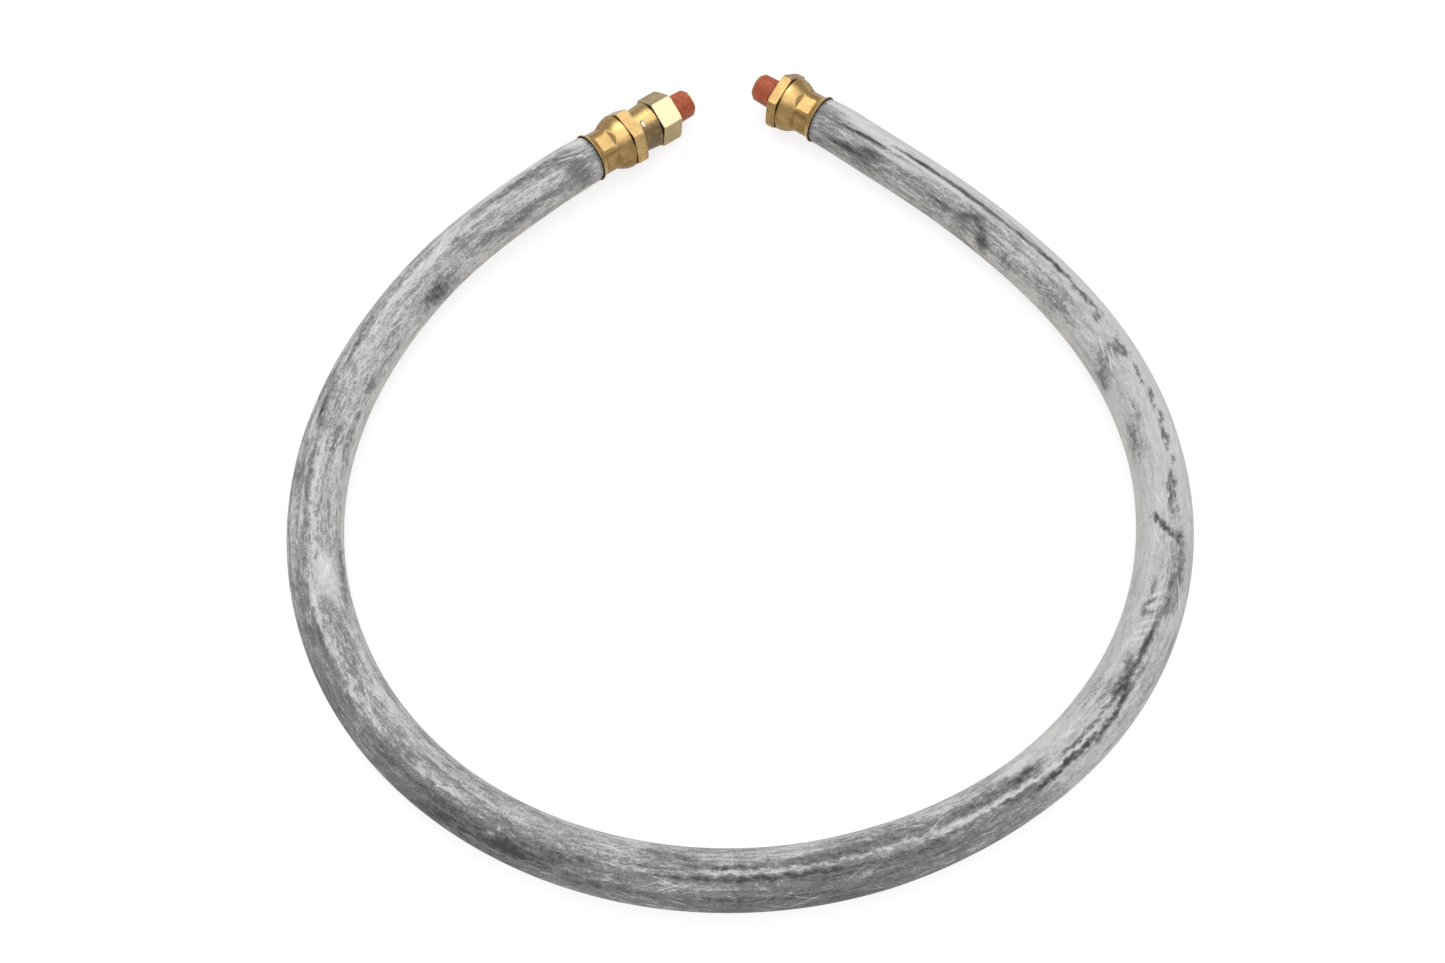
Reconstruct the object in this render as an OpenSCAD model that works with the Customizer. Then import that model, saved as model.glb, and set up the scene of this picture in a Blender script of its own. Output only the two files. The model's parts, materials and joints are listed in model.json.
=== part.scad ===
// Short rubber air-brake hose with two field-attachable brass ends.
// One end has a live swivel, the other a rigid male pipe end.
// Millimetres. The hose lies on Z = 0 and bows towards -Y; the two brass ends
// are centred on the origin in plan. Each end is drawn along its own +Z, with
// Z = 0 at the lip where the hose goes in, and is then laid on its axis.

/* [Hose] */
// Outside diameter of the hose
hose_d = 22.2; // [21:0.1:23]
// Bore of the hose
bore_d = 12.7; // [11:0.1:13]
// Wall of the inner rubber tube
liner_wall = 1.7; // [1.4:0.1:1.9]
// Thickness of one braided layer
braid_wall = 0.6; // [0.4:0.05:0.7]
// How much the waist of the nut squeezes the braid, on the radius
squeeze = 0.55; // [0.3:0.05:0.8]

/* [Nut] */
// Length of the nut from its lip to its front face
nut_len = 17.8; // [17:0.1:20]
// Thickness of the rolled lip
lip_t = 0.6; // [0.4:0.05:1]
// How far the lip closes in round the bevelled end of the hose's cover
lip_bite = 0.45; // [0.2:0.05:0.5]
// Wall of the round waist
waist_wall = 1.45; // [1.2:0.05:1.8]
// Wall left under the wrench flats
flat_wall = 0.775; // [0.6:0.025:1]
// Where the wrench flats begin, from the lip
flats_start = 3; // [2.6:0.1:3.6]
// Length of the wrench flats
flats_len = 6.9; // [6:0.1:7.5]
// Wall of the dome outside its thread
dome_wall = 1.7; // [1.3:0.1:2.2]

/* [Grip] */
// Wall of the clamping sleeve
sleeve_wall = 1.55; // [1.2:0.05:1.8]
// Wall of the threaded collar at its mouth
collar_wall = 0.85; // [0.7:0.05:1.1]
// Length of the threaded collar
collar_len = 5; // [4.6:0.1:5.4]
// Depth of each barb and bite ring
barb_depth = 0.4; // [0.2:0.05:0.5]
// Barbs on the insert
barb_count = 5; // [3:1:6]

/* [Body] */
// Across flats of the body's hexagon
body_flats = 24.6; // [23.8:0.1:26]
// Length of the swivel body's hexagon
swivel_hex_len = 6; // [4.5:0.1:8]
// Length of the fixed body's hexagon
fixed_hex_len = 5; // [4.5:0.1:8]
// Bore through the body
body_bore_d = 8.4; // [7:0.1:9]
// Length of the swivel barrel in front of its hexagon
barrel_len = 11; // [10.7:0.1:13]
// Wall of the swivel barrel outside its socket
barrel_wall = 3.3; // [3:0.1:3.8]
// How much the barrel narrows towards its hexagon, on the radius
barrel_fall = 0.9; // [0.3:0.1:1.2]

/* [Swivel] */
// Diameter of the adapter's spigot
spigot_d = 15; // [14.6:0.1:15.4]
// Diameter of the retaining wire
wire_d = 2; // [1.6:0.1:2.2]
// Thickness of the O-ring
ring_d = 1.68; // [1.5:0.02:1.78]
// Across flats of the adapter's hexagon
adapter_flats = 21.1; // [19:0.1:23]
// Length of the adapter's hexagon
adapter_hex_len = 10.9; // [9:0.1:14]
// Bore through the adapter
adapter_bore_d = 8.4; // [6:0.1:9]

/* [Pipe thread] */
// Crest diameter at the small end, 1/4-18 NPT
thread_tip_d = 13; // [12.9:0.05:13.6]
// Depth of the thread below its crest
thread_depth = 0.6; // [0.4:0.05:0.8]
// Length of the swivel end's thread
swivel_thread_len = 12.5; // [10:0.1:16]
// Length of the fixed end's thread
fixed_thread_len = 13.5; // [10:0.1:16]
// Bare metal left at the tip, past the dried sealant
sealant_bare = 1.2; // [1.1:0.1:3]

/* [Clearances] */
// Between pieces that are clamped together
seat_gap = 0.05; // [0.02:0.01:0.08]
// Between the hose and the lip of the nut, before the lip closes in
mouth_gap = 0.1; // [0.05:0.05:0.3]
// Between the threads of nut and collar
thread_gap = 0.1; // [0.05:0.01:0.15]
// Between the spigot and its socket
spin_gap = 0.08; // [0.04:0.01:0.1]
// Between the faces of nut and body
face_gap = 0.3; // [0.2:0.05:0.5]
// Between the barrel and the adapter's hexagon
swivel_gap = 0.5; // [0.3:0.05:0.8]

/* [Hidden] */
$fn = 96;
eps = 0.01;
half_turn = 180;

// Where each end lies: its lip's centre, its heading in plan, its dip
swivel_at = [-53.49, -20.81, 15.4];
swivel_heading = 40.4;
swivel_dip = 4;
fixed_at = [54.05, 3.0, 14.76];
fixed_heading = 143.1;
fixed_dip = 1.5;

// Turn of each piece about its own axis
swivel_nut_turn = 19;
swivel_body_turn = 15;
adapter_turn = 32;
wire_tail_turn = 210;
fixed_nut_turn = 40;
fixed_body_turn = 36;

// The hose's own route between its two straight ends: each point's place seen from
// above, and how far the hose is lifted off the surface there
route = [
    [-73.5, -38.4, 5.4], [-92.5, -55.9, 4.9], [-111.8, -75.5, 3.2], [-132, -103.5, 1.1],
    [-149.2, -141.7, 0.1], [-157.1, -188.8, 0], [-147.7, -244.7, 0], [-117.8, -294, 0],
    [-71.5, -328.8, 0], [-20.2, -345.2, 0], [35.6, -345.8, 0], [90.2, -330, 0],
    [137.8, -299, 0], [172.5, -252.8, 0], [186.9, -198.8, 0], [180.6, -143.5, 0],
    [160.4, -100.1, 0.1], [137.2, -70, 0.8], [114.7, -47.4, 2.1], [95.2, -30.3, 3],
    [76.8, -15.2, 3.5]
];
tube_sides = 12;
straight_out = 6;         // straight hose outside each lip
bevel_start = -0.6;       // where the cover begins to taper, just outside
bevel_end = 1.2;          // where the tapered cover stops, inside the lip

// Radii of the hose's layers, free and squeezed: bore, liner, braid, braid, cover
hose_r = hose_d / 2;
bore_r = bore_d / 2;
free_r = [
    bore_r + seat_gap, bore_r + liner_wall, bore_r + liner_wall + braid_wall,
    bore_r + liner_wall + 2 * braid_wall, hose_r
];
grip_r = [
    free_r[0], free_r[1] - squeeze * 0.7, free_r[2] - squeeze * 0.85,
    free_r[3] - squeeze
];

// Radii of the nut, the sleeve and the collar, from the hose outwards
throat_r = grip_r[3] + seat_gap;
waist_r = throat_r + waist_wall;
nut_flats = 2 * (throat_r + flat_wall);
sleeve_r = throat_r + sleeve_wall;
chamber_r = sleeve_r + 3 * seat_gap;
collar_mouth_r = sleeve_r + 2 * seat_gap;
collar_r = collar_mouth_r + collar_wall;
nut_thread_r = collar_r + thread_gap;
dome_r = nut_thread_r + dome_wall;
mouth_r = hose_r + mouth_gap - lip_bite;
lip_r = mouth_r + lip_t;

// Stations along an end, from the lip
flats_end = flats_start + flats_len;
dome_start = flats_end - 1.6;                 // where the waist begins to sweep out
throat_end = flats_end + 0.5;
hex_start = nut_len + face_gap;
hex_end = hex_start + swivel_hex_len;
fixed_hex_end = hex_start + fixed_hex_len;
collar_start = hex_start - collar_len;
pocket_floor = hex_start - 1.4;               // the hose's end stands off it
hose_end = pocket_floor - 0.4;
insert_start = 1.5;
relief_start = collar_start - 0.4;
bell_end = flats_start + 1;

// The swivel
spigot_r = spigot_d / 2;
socket_r = spigot_r + spin_gap;
barrel_r = socket_r + barrel_wall;
barrel_end = hex_end + barrel_len;
socket_floor = hex_end + 0.6;
wire_at = socket_floor + 2.65;
wire_r = wire_d / 2;
wire_ring_r = (socket_r + spigot_r) / 2;
ring_r = ring_d / 2;
ring_inset = 2.9;
ring_at = barrel_end - ring_inset;
ring_centre_r = socket_r - ring_r - spin_gap;
ring_groove_w = ring_d * 1.3;
adapter_start = barrel_end + swivel_gap;
adapter_hex_end = adapter_start + adapter_hex_len;
spigot_end = socket_floor + 0.4;

// The taper of a pipe thread: 1 in 16 on the diameter
taper = 1 / 32;
sealant_coat = 0.05;
sealant_start = 0.5;
tip_chamfer = 1;

// Points of an arc about a centre, from angle a0 to a1
function arc(centre, r, a0, a1, steps = 12) = [
    for (i = [0:steps])
        let (a = a0 + (a1 - a0) * i / steps)
        centre + r * [cos(a), sin(a)]
];

// The direction an end points in, and a point on its axis
function heading(turn, dip) = [cos(turn) * cos(dip), sin(turn) * cos(dip), -sin(dip)];
swivel_dir = heading(swivel_heading, swivel_dip);
fixed_dir = heading(fixed_heading, fixed_dip);
function swivel_point(s) = swivel_at + s * swivel_dir;
function fixed_point(s) = fixed_at + s * fixed_dir;

// Lays an end, drawn along +Z, on its own axis
module on_swivel_axis() {
    translate(swivel_at) rotate([0, 90 + swivel_dip, swivel_heading]) children();
}
module on_fixed_axis() {
    translate(fixed_at) rotate([0, 90 + fixed_dip, fixed_heading]) children();
}

// ---- Hose ----

function unit(v) = v / norm(v);
function mix(a, b, t) = a + (b - a) * t;

// The squeeze eases off between the end of the bell and the bevel's start
function layer_r(j, s) =
    s <= bevel_start ? free_r[j]
    : s >= bell_end ? grip_r[j]
    : mix(free_r[j], grip_r[j], (s - bevel_start) / (bell_end - bevel_start));

// Stations inside and just outside each lip, for the layers and for the cover
layer_stations = [hose_end, bell_end, bevel_start, -straight_out];
cover_stations = [bevel_end, bevel_start, -straight_out];
cover_tip_r = layer_r(3, bevel_end) + 0.6;

// Centres of a tube's rings, and the s of each, counted as 0 on the free route
function tube_centres(stations) = concat(
    [for (s = stations) swivel_point(s)],
    [for (p = route) [p[0], p[1], hose_r + p[2]]],
    [for (i = [len(stations) - 1:-1:0]) fixed_point(stations[i])]
);
function tube_s(stations) = concat(
    stations,
    [for (p = route) -straight_out],
    [for (i = [len(stations) - 1:-1:0]) stations[i]]
);

// The way the tube runs at ring i; its two ends follow the brass ends' axes
function run_dir(c, s, i) =
    i < s ? -swivel_dir
    : i >= len(c) - s ? fixed_dir
    : unit(c[i + 1] - c[i - 1]);

// One ring of a tube: sides points about a centre, the first one lowest
function ring(centre, dir, r) =
    let (across = unit(cross(dir, [0, 0, 1])), up = cross(across, dir))
    [for (k = [0:tube_sides - 1])
        let (a = 360 * k / tube_sides)
        centre - r * (cos(a) * up + sin(a) * across)];

// A layer of the hose: a wall between an inner and an outer surface
module hose_layer(stations, inner, outer) {
    centres = tube_centres(stations);
    count = len(centres);
    straight = len(stations);
    n = tube_sides;
    points = concat(
        [for (i = [0:count - 1]) each ring(centres[i], run_dir(centres, straight, i), outer[i])],
        [for (i = [0:count - 1]) each ring(centres[i], run_dir(centres, straight, i), inner[i])]
    );
    in0 = count * n;
    skin = [for (i = [0:count - 2], k = [0:n - 1])
        let (a = i * n + k, b = i * n + (k + 1) % n)
        each [[a, b + n, b], [a, a + n, b + n],
              [in0 + a, in0 + b, in0 + b + n], [in0 + a, in0 + b + n, in0 + a + n]]];
    last = (count - 1) * n;
    ends = [for (k = [0:n - 1])
        let (k1 = (k + 1) % n)
        each [[k, in0 + k1, in0 + k], [k, k1, in0 + k1],
              [last + k, in0 + last + k1, last + k1],
              [last + k, in0 + last + k, in0 + last + k1]]];
    polyhedron(points, concat(skin, ends), convexity = 6);
}

function radii(j) = [for (s = tube_s(layer_stations)) layer_r(j, s)];
function corner_r(r) = [for (x = r) x / cos(180 / tube_sides)];

module hose_liner() {
    color("#2a2a2b") hose_layer(layer_stations, corner_r(radii(0)), radii(1));
}

module hose_inner_braid() {
    color("#b9b29c") hose_layer(layer_stations, radii(1), radii(2));
}

module hose_outer_braid() {
    color("#c8c1aa") hose_layer(layer_stations, radii(2), radii(3));
}

module hose_cover() {
    inner = [for (s = tube_s(cover_stations)) layer_r(3, s)];
    outer = [for (s = tube_s(cover_stations)) s >= bevel_end ? cover_tip_r : hose_r];
    color("#8d8d8c") hose_layer(cover_stations, inner, outer);
}

// ---- Shared brass forms ----

// A hexagonal prism with its corners turned down at both ends
module wrench_hex(flats, length, turn, bevel = 0.5) {
    corner = flats / 2 / cos(30);
    rotate([0, 0, turn + 30]) intersection() {
        cylinder(r = corner, h = length, $fn = 6);
        rotate_extrude() polygon([
            [0, 0], [corner - 2 * bevel, 0], [corner + eps, bevel + eps],
            [corner + eps, length - bevel - eps], [corner - 2 * bevel, length], [0, length]
        ]);
    }
}

// Angle of an S-curve at its middle, from its run and its rise
function sweep_a(run, rise) = 2 * atan(rise / run);

// Radius of an arc that is flat at one end, from its run and its rise
function sweep_r(run, rise) = (run * run + rise * rise) / (2 * rise);

// The bell, waist and dome of the nut, as one turned wall
module nut_wall() {
    lip_c = [mouth_r + lip_t / 2, lip_t / 2];
    bell_r = sweep_r(flats_start - lip_t, lip_r - lip_t / 6 - waist_r);
    inner_bell_r = sweep_r(bell_end - lip_t / 2, mouth_r - throat_r);
    dome_apex = nut_len + 0.4;
    dome_run = dome_apex - dome_start;
    dome_a0 = sweep_a(dome_run, dome_r - waist_r);
    fillet_r = 6;
    dome_arc_r = dome_run / sin(dome_a0) - fillet_r;
    front_bevel = 0.6;
    bell_a = asin((flats_start - lip_t) / bell_r);
    inner_a = asin((bell_end - lip_t / 2) / inner_bell_r);
    dome_a1 = asin((dome_apex - nut_len + front_bevel) / dome_arc_r);
    dome_c = [dome_r - dome_arc_r, dome_apex];
    rotate_extrude() polygon(concat(
        arc(lip_c, lip_t / 2, half_turn, 2 * half_turn, 8),
        arc([waist_r + bell_r, flats_start], bell_r, half_turn + bell_a, half_turn, 10),
        arc([waist_r + fillet_r, dome_start], fillet_r, half_turn, half_turn - dome_a0, 8),
        arc(dome_c, dome_arc_r, -dome_a0 * 15 / 16, -dome_a1, 15),
        [[dome_r - front_bevel, nut_len], [nut_thread_r, nut_len],
         [nut_thread_r, relief_start], [chamber_r, relief_start],
         [chamber_r, throat_end + chamber_r - throat_r], [throat_r, throat_end]],
        arc([throat_r + inner_bell_r, bell_end], inner_bell_r, half_turn, half_turn + inner_a, 10)
    ));
}

module hose_nut(turn) {
    corner = nut_flats / 2 / cos(30);
    in_run = 0.6;
    out_run = 1.6;
    difference() {
        nut_wall();
        translate([0, 0, flats_start]) rotate([0, 0, turn + 30]) difference() {
            translate([0, 0, -in_run]) cylinder(r = dome_r + 1, h = flats_len + in_run + out_run);
            translate([0, 0, -eps]) cylinder(r = corner, h = flats_len + 2 * eps, $fn = 6);
            translate([0, 0, -in_run - eps])
                cylinder(r1 = corner + in_run / cos(30), r2 = corner, h = in_run + eps, $fn = 6);
            translate([0, 0, flats_len])
                cylinder(r1 = corner, r2 = corner + out_run / cos(30), h = out_run + eps, $fn = 6);
        }
    }
}

// The tapered clamping sleeve, with bite rings in its bore
module grip_sleeve() {
    rear = throat_end + 9 * seat_gap;
    lean = 3 * seat_gap;
    rear_r = throat_r + rear - throat_end - lean;
    rear_full = rear + sleeve_r - rear_r;
    front_full = collar_start + collar_mouth_r - sleeve_r - lean;
    front_r = throat_r + 0.25;
    front = front_full + sleeve_r - front_r;
    bites = 3;
    pitch = (front - rear) / (bites + 1);
    rotate_extrude() polygon(concat(
        [[throat_r, rear], [rear_r, rear], [sleeve_r, rear_full],
         [sleeve_r, front_full], [front_r, front], [throat_r, front]],
        [for (i = [bites:-1:1])
            let (y = rear + i * pitch)
            each [[throat_r, y + barb_depth], [throat_r + barb_depth, y], [throat_r, y - barb_depth]]]
    ));
}

// The barbed insert and the threaded collar around the hose's end
module hose_grip() {
    nose = 1;
    root_r = bore_r - barb_depth;
    barb_run = (collar_start - insert_start - nose) / barb_count;
    collar_bevel = 0.3;
    rotate_extrude() polygon(concat(
        [[body_bore_d / 2, insert_start], [root_r - barb_depth, insert_start], [root_r, insert_start + nose]],
        [for (i = [0:barb_count - 1])
            let (y = insert_start + nose + i * barb_run)
            each [[bore_r, y + barb_run * 0.8], [bore_r, y + barb_run * 0.9],
                  [i < barb_count - 1 ? root_r : bore_r, y + barb_run]]],
        [[bore_r, pocket_floor], [throat_r, pocket_floor],
         [throat_r, collar_start + collar_mouth_r - throat_r],
         [collar_mouth_r, collar_start], [collar_r - collar_bevel, collar_start],
         [collar_r, collar_start + collar_bevel], [collar_r, hex_start + eps],
         [body_bore_d / 2, hex_start + eps]]
    ));
}

// The body's hexagon, bored through
module body_hex(turn, length) {
    translate([0, 0, hex_start]) difference() {
        wrench_hex(body_flats, length, turn);
        translate([0, 0, -1]) cylinder(d = body_bore_d, h = length + 2);
    }
}

// Crest radius of the thread at its root end and at its tip
function crest_root(length) = thread_tip_d / 2 + length * taper;
function crest_tip() = thread_tip_d / 2;

// A tapered pipe thread as its core cone, with a turned-down tip
module pipe_thread_core(start, length, bore) {
    tip = start + length;
    core_tip = crest_tip() - thread_depth;
    rotate_extrude() polygon([
        [bore / 2, start - eps], [crest_root(length) - thread_depth, start - eps],
        [core_tip + tip_chamfer * taper, tip - tip_chamfer],
        [core_tip - tip_chamfer / 2, tip], [bore / 2, tip]
    ]);
}

// The dried sealant that fills the thread and just covers its crests
module sealant_coat(start, length) {
    low = start + sealant_start;
    high = start + length - sealant_bare;
    core = crest_tip() - thread_depth;
    low_core = core + (length - sealant_start) * taper;
    high_core = core + sealant_bare * taper;
    skin = thread_depth + sealant_coat;
    round = 0.3;
    rotate_extrude() polygon([
        [low_core, low], [low_core + skin, low], [high_core + skin, high - round],
        [high_core + skin - round, high], [high_core, high]
    ]);
}

// ---- Swivel end ----

// The barrel widens from its neck to its mouth
neck_r = barrel_r - barrel_fall;
neck_end = hex_end + 1;
flare_end = barrel_end - 1;

// The way of the wire's tail: a line that leaves the ring at a tangent, cut off just
// proud of the barrel
tail_out_r = mix(neck_r, barrel_r, (wire_at - neck_end) / (flare_end - neck_end)) + 0.12;
tail_turn = wire_tail_turn - acos(wire_ring_r / tail_out_r);
slot_over = 4;                                // how far the slot and the uncut tail run out
tail_root = 0.3;                              // where the tail starts, inside the ring
tail_r = wire_r - 0.02;                       // drawn a hair thinner than the ring
module along_tail() {
    translate([0, 0, wire_at]) rotate([0, 0, tail_turn]) translate([wire_ring_r, 0, 0])
        rotate([-90, 0, 0]) children();
}

// The round barrel with its socket, wire groove and wire slot
module swivel_barrel() {
    front_bevel = 0.4;
    difference() {
        rotate_extrude() polygon([
            [body_bore_d / 2, hex_end - eps], [neck_r, hex_end - eps],
            [neck_r, neck_end], [barrel_r, flare_end],
            [barrel_r, barrel_end - front_bevel], [barrel_r - front_bevel, barrel_end],
            [socket_r + front_bevel, barrel_end], [socket_r, barrel_end - front_bevel],
            [socket_r, socket_floor], [body_bore_d / 2, socket_floor]
        ]);
        translate([0, 0, wire_at]) rotate_extrude() translate([wire_ring_r, 0]) circle(r = wire_r + seat_gap);
        along_tail() cylinder(r = wire_r + 3 * seat_gap, h = barrel_r + slot_over);
    }
}

module swivel_end_nut() {
    color("#c9a257") on_swivel_axis() hose_nut(swivel_nut_turn);
}

module swivel_end_sleeve() {
    color("#d3b06a") on_swivel_axis() grip_sleeve();
}

module swivel_end_body() {
    color("#bf984c") on_swivel_axis() union() {
        hose_grip();
        body_hex(swivel_body_turn, swivel_hex_len);
        swivel_barrel();
    }
}

module swivel_o_ring() {
    color("#1c1c1c") on_swivel_axis() translate([0, 0, ring_at])
        rotate_extrude() translate([ring_centre_r, 0]) circle(r = ring_r);
}

module swivel_retaining_wire() {
    color("#d9c793") on_swivel_axis() union() {
        translate([0, 0, wire_at]) rotate([0, 0, tail_turn - 330])
            rotate_extrude(angle = 330) translate([wire_ring_r, 0]) circle(r = wire_r);
        intersection() {
            along_tail() translate([0, 0, -tail_root])
                cylinder(r = tail_r, h = tail_root + barrel_r + slot_over);
            translate([0, 0, wire_at - wire_d]) cylinder(r = tail_out_r, h = 2 * wire_d);
        }
    }
}

module swivel_adapter() {
    nose = 0.4;
    groove_floor = ring_centre_r - ring_r - eps;
    color("#d8cf9d") on_swivel_axis() difference() {
        union() {
            difference() {
                rotate_extrude() polygon([
                    [adapter_bore_d / 2, spigot_end], [spigot_r - nose, spigot_end],
                    [spigot_r, spigot_end + nose],
                    [spigot_r, ring_at - ring_groove_w / 2], [groove_floor, ring_at - ring_groove_w / 2],
                    [groove_floor, ring_at + ring_groove_w / 2], [spigot_r, ring_at + ring_groove_w / 2],
                    [spigot_r, adapter_start + eps], [adapter_bore_d / 2, adapter_start + eps]
                ]);
                translate([0, 0, wire_at]) rotate_extrude()
                    translate([wire_ring_r, 0]) circle(r = wire_r + 2 * spin_gap);
            }
            translate([0, 0, adapter_start]) wrench_hex(adapter_flats, adapter_hex_len, adapter_turn);
            pipe_thread_core(adapter_hex_end, swivel_thread_len, adapter_bore_d);
        }
        translate([0, 0, adapter_start - 1]) cylinder(d = adapter_bore_d, h = adapter_hex_len + 2);
    }
}

module swivel_thread_sealant() {
    color("#a8503c") on_swivel_axis() sealant_coat(adapter_hex_end, swivel_thread_len);
}

// ---- Fixed end ----

module fixed_end_nut() {
    color("#c9a257") on_fixed_axis() hose_nut(fixed_nut_turn);
}

module fixed_end_sleeve() {
    color("#d3b06a") on_fixed_axis() grip_sleeve();
}

module fixed_end_body() {
    color("#bf984c") on_fixed_axis() union() {
        hose_grip();
        body_hex(fixed_body_turn, fixed_hex_len);
        pipe_thread_core(fixed_hex_end, fixed_thread_len, body_bore_d);
    }
}

module fixed_thread_sealant() {
    color("#a8503c") on_fixed_axis() sealant_coat(fixed_hex_end, fixed_thread_len);
}

hose_liner();
hose_inner_braid();
hose_outer_braid();
hose_cover();
swivel_end_nut();
swivel_end_sleeve();
swivel_end_body();
swivel_o_ring();
swivel_retaining_wire();
swivel_adapter();
swivel_thread_sealant();
fixed_end_nut();
fixed_end_sleeve();
fixed_end_body();
fixed_thread_sealant();
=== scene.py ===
"""Dresses a rubber air hose that has a swivelling brass end and a rigid one.

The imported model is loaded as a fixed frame. The hose's four layers are drawn again as
smooth tubes, the threads get their helix and their dried sealant, and every piece gets
a finish made of shader nodes. Lengths are in metres unless a name says otherwise.
"""

import json
import logging
import math
from dataclasses import dataclass, field
from enum import Enum
from typing import Optional, Sequence, Union

import bpy
import numpy as np
from mathutils import Euler, Matrix, Vector


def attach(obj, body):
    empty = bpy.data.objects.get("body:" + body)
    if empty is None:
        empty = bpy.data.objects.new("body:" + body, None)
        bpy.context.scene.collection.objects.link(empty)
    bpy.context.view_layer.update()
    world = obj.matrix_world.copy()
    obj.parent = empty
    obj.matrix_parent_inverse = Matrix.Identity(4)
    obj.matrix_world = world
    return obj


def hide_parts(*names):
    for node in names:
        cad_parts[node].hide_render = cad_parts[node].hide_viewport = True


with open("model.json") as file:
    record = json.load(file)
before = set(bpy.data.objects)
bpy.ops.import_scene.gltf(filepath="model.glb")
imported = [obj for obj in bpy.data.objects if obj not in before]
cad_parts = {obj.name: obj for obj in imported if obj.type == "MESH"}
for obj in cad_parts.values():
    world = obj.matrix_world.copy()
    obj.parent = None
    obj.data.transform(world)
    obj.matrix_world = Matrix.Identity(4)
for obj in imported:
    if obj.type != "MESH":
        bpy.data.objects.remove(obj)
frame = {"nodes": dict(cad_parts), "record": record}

MM = 0.001
Colour = tuple[float, float, float]
Point = tuple[float, float, float]
Span = tuple[float, float]
Table = tuple[tuple[float, float], ...]
Number = Union[float, "Sock"]
log = logging.getLogger("hose")


class Body(Enum):
    """The rigid bodies that a drawn piece may ride on."""

    HOSE = "root"
    SWIVEL_TIP = "swivel_tip"


# ---- Shader graphs ----


class Sock:
    """One output of a shader graph, which does maths as a number does."""

    def __init__(self, graph: "Graph", socket: bpy.types.NodeSocket) -> None:
        """Wraps a socket of a graph."""
        self.graph = graph
        self.socket = socket

    def __add__(self, other: Number) -> "Sock":
        """Sum of two values."""
        return self.graph.math("ADD", self, other)

    def __sub__(self, other: Number) -> "Sock":
        """Difference of two values."""
        return self.graph.math("SUBTRACT", self, other)

    def __rsub__(self, other: Number) -> "Sock":
        """Difference, with this value on the right."""
        return self.graph.math("SUBTRACT", other, self)

    def __mul__(self, other: Number) -> "Sock":
        """Product of two values."""
        return self.graph.math("MULTIPLY", self, other)

    def __truediv__(self, other: Number) -> "Sock":
        """Quotient of two values."""
        return self.graph.math("DIVIDE", self, other)

    __radd__ = __add__
    __rmul__ = __mul__

    def sine(self) -> "Sock":
        """Sine of an angle in radians."""
        return self.graph.math("SINE", self)

    def centred(self, strength: float) -> "Sock":
        """A value about 0.5 moved to lie about 0, times a strength."""
        return (self - 0.5) * strength

    def clamp(self) -> "Sock":
        """This value held between 0 and 1."""
        return self.step(0.0, 1.0, "LINEAR")

    def step(self, low: float, high: float, shape: str = "SMOOTHSTEP") -> "Sock":
        """Rises from 0 to 1 as this value goes from low to high.

        Args:
            low: The value that gives 0.
            high: The value that gives 1.
            shape: The Map Range node's interpolation.

        Returns:
            The stepped value.
        """
        settings = {"interpolation_type": shape}
        inputs = {"Value": self, "From Min": low, "From Max": high}
        return self.graph.node("ShaderNodeMapRange", settings, inputs, "Result")

    def sibling(self, output: Union[int, str]) -> "Sock":
        """Another output of the node that gives this value."""
        return Sock(self.graph, self.socket.node.outputs[output])


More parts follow.
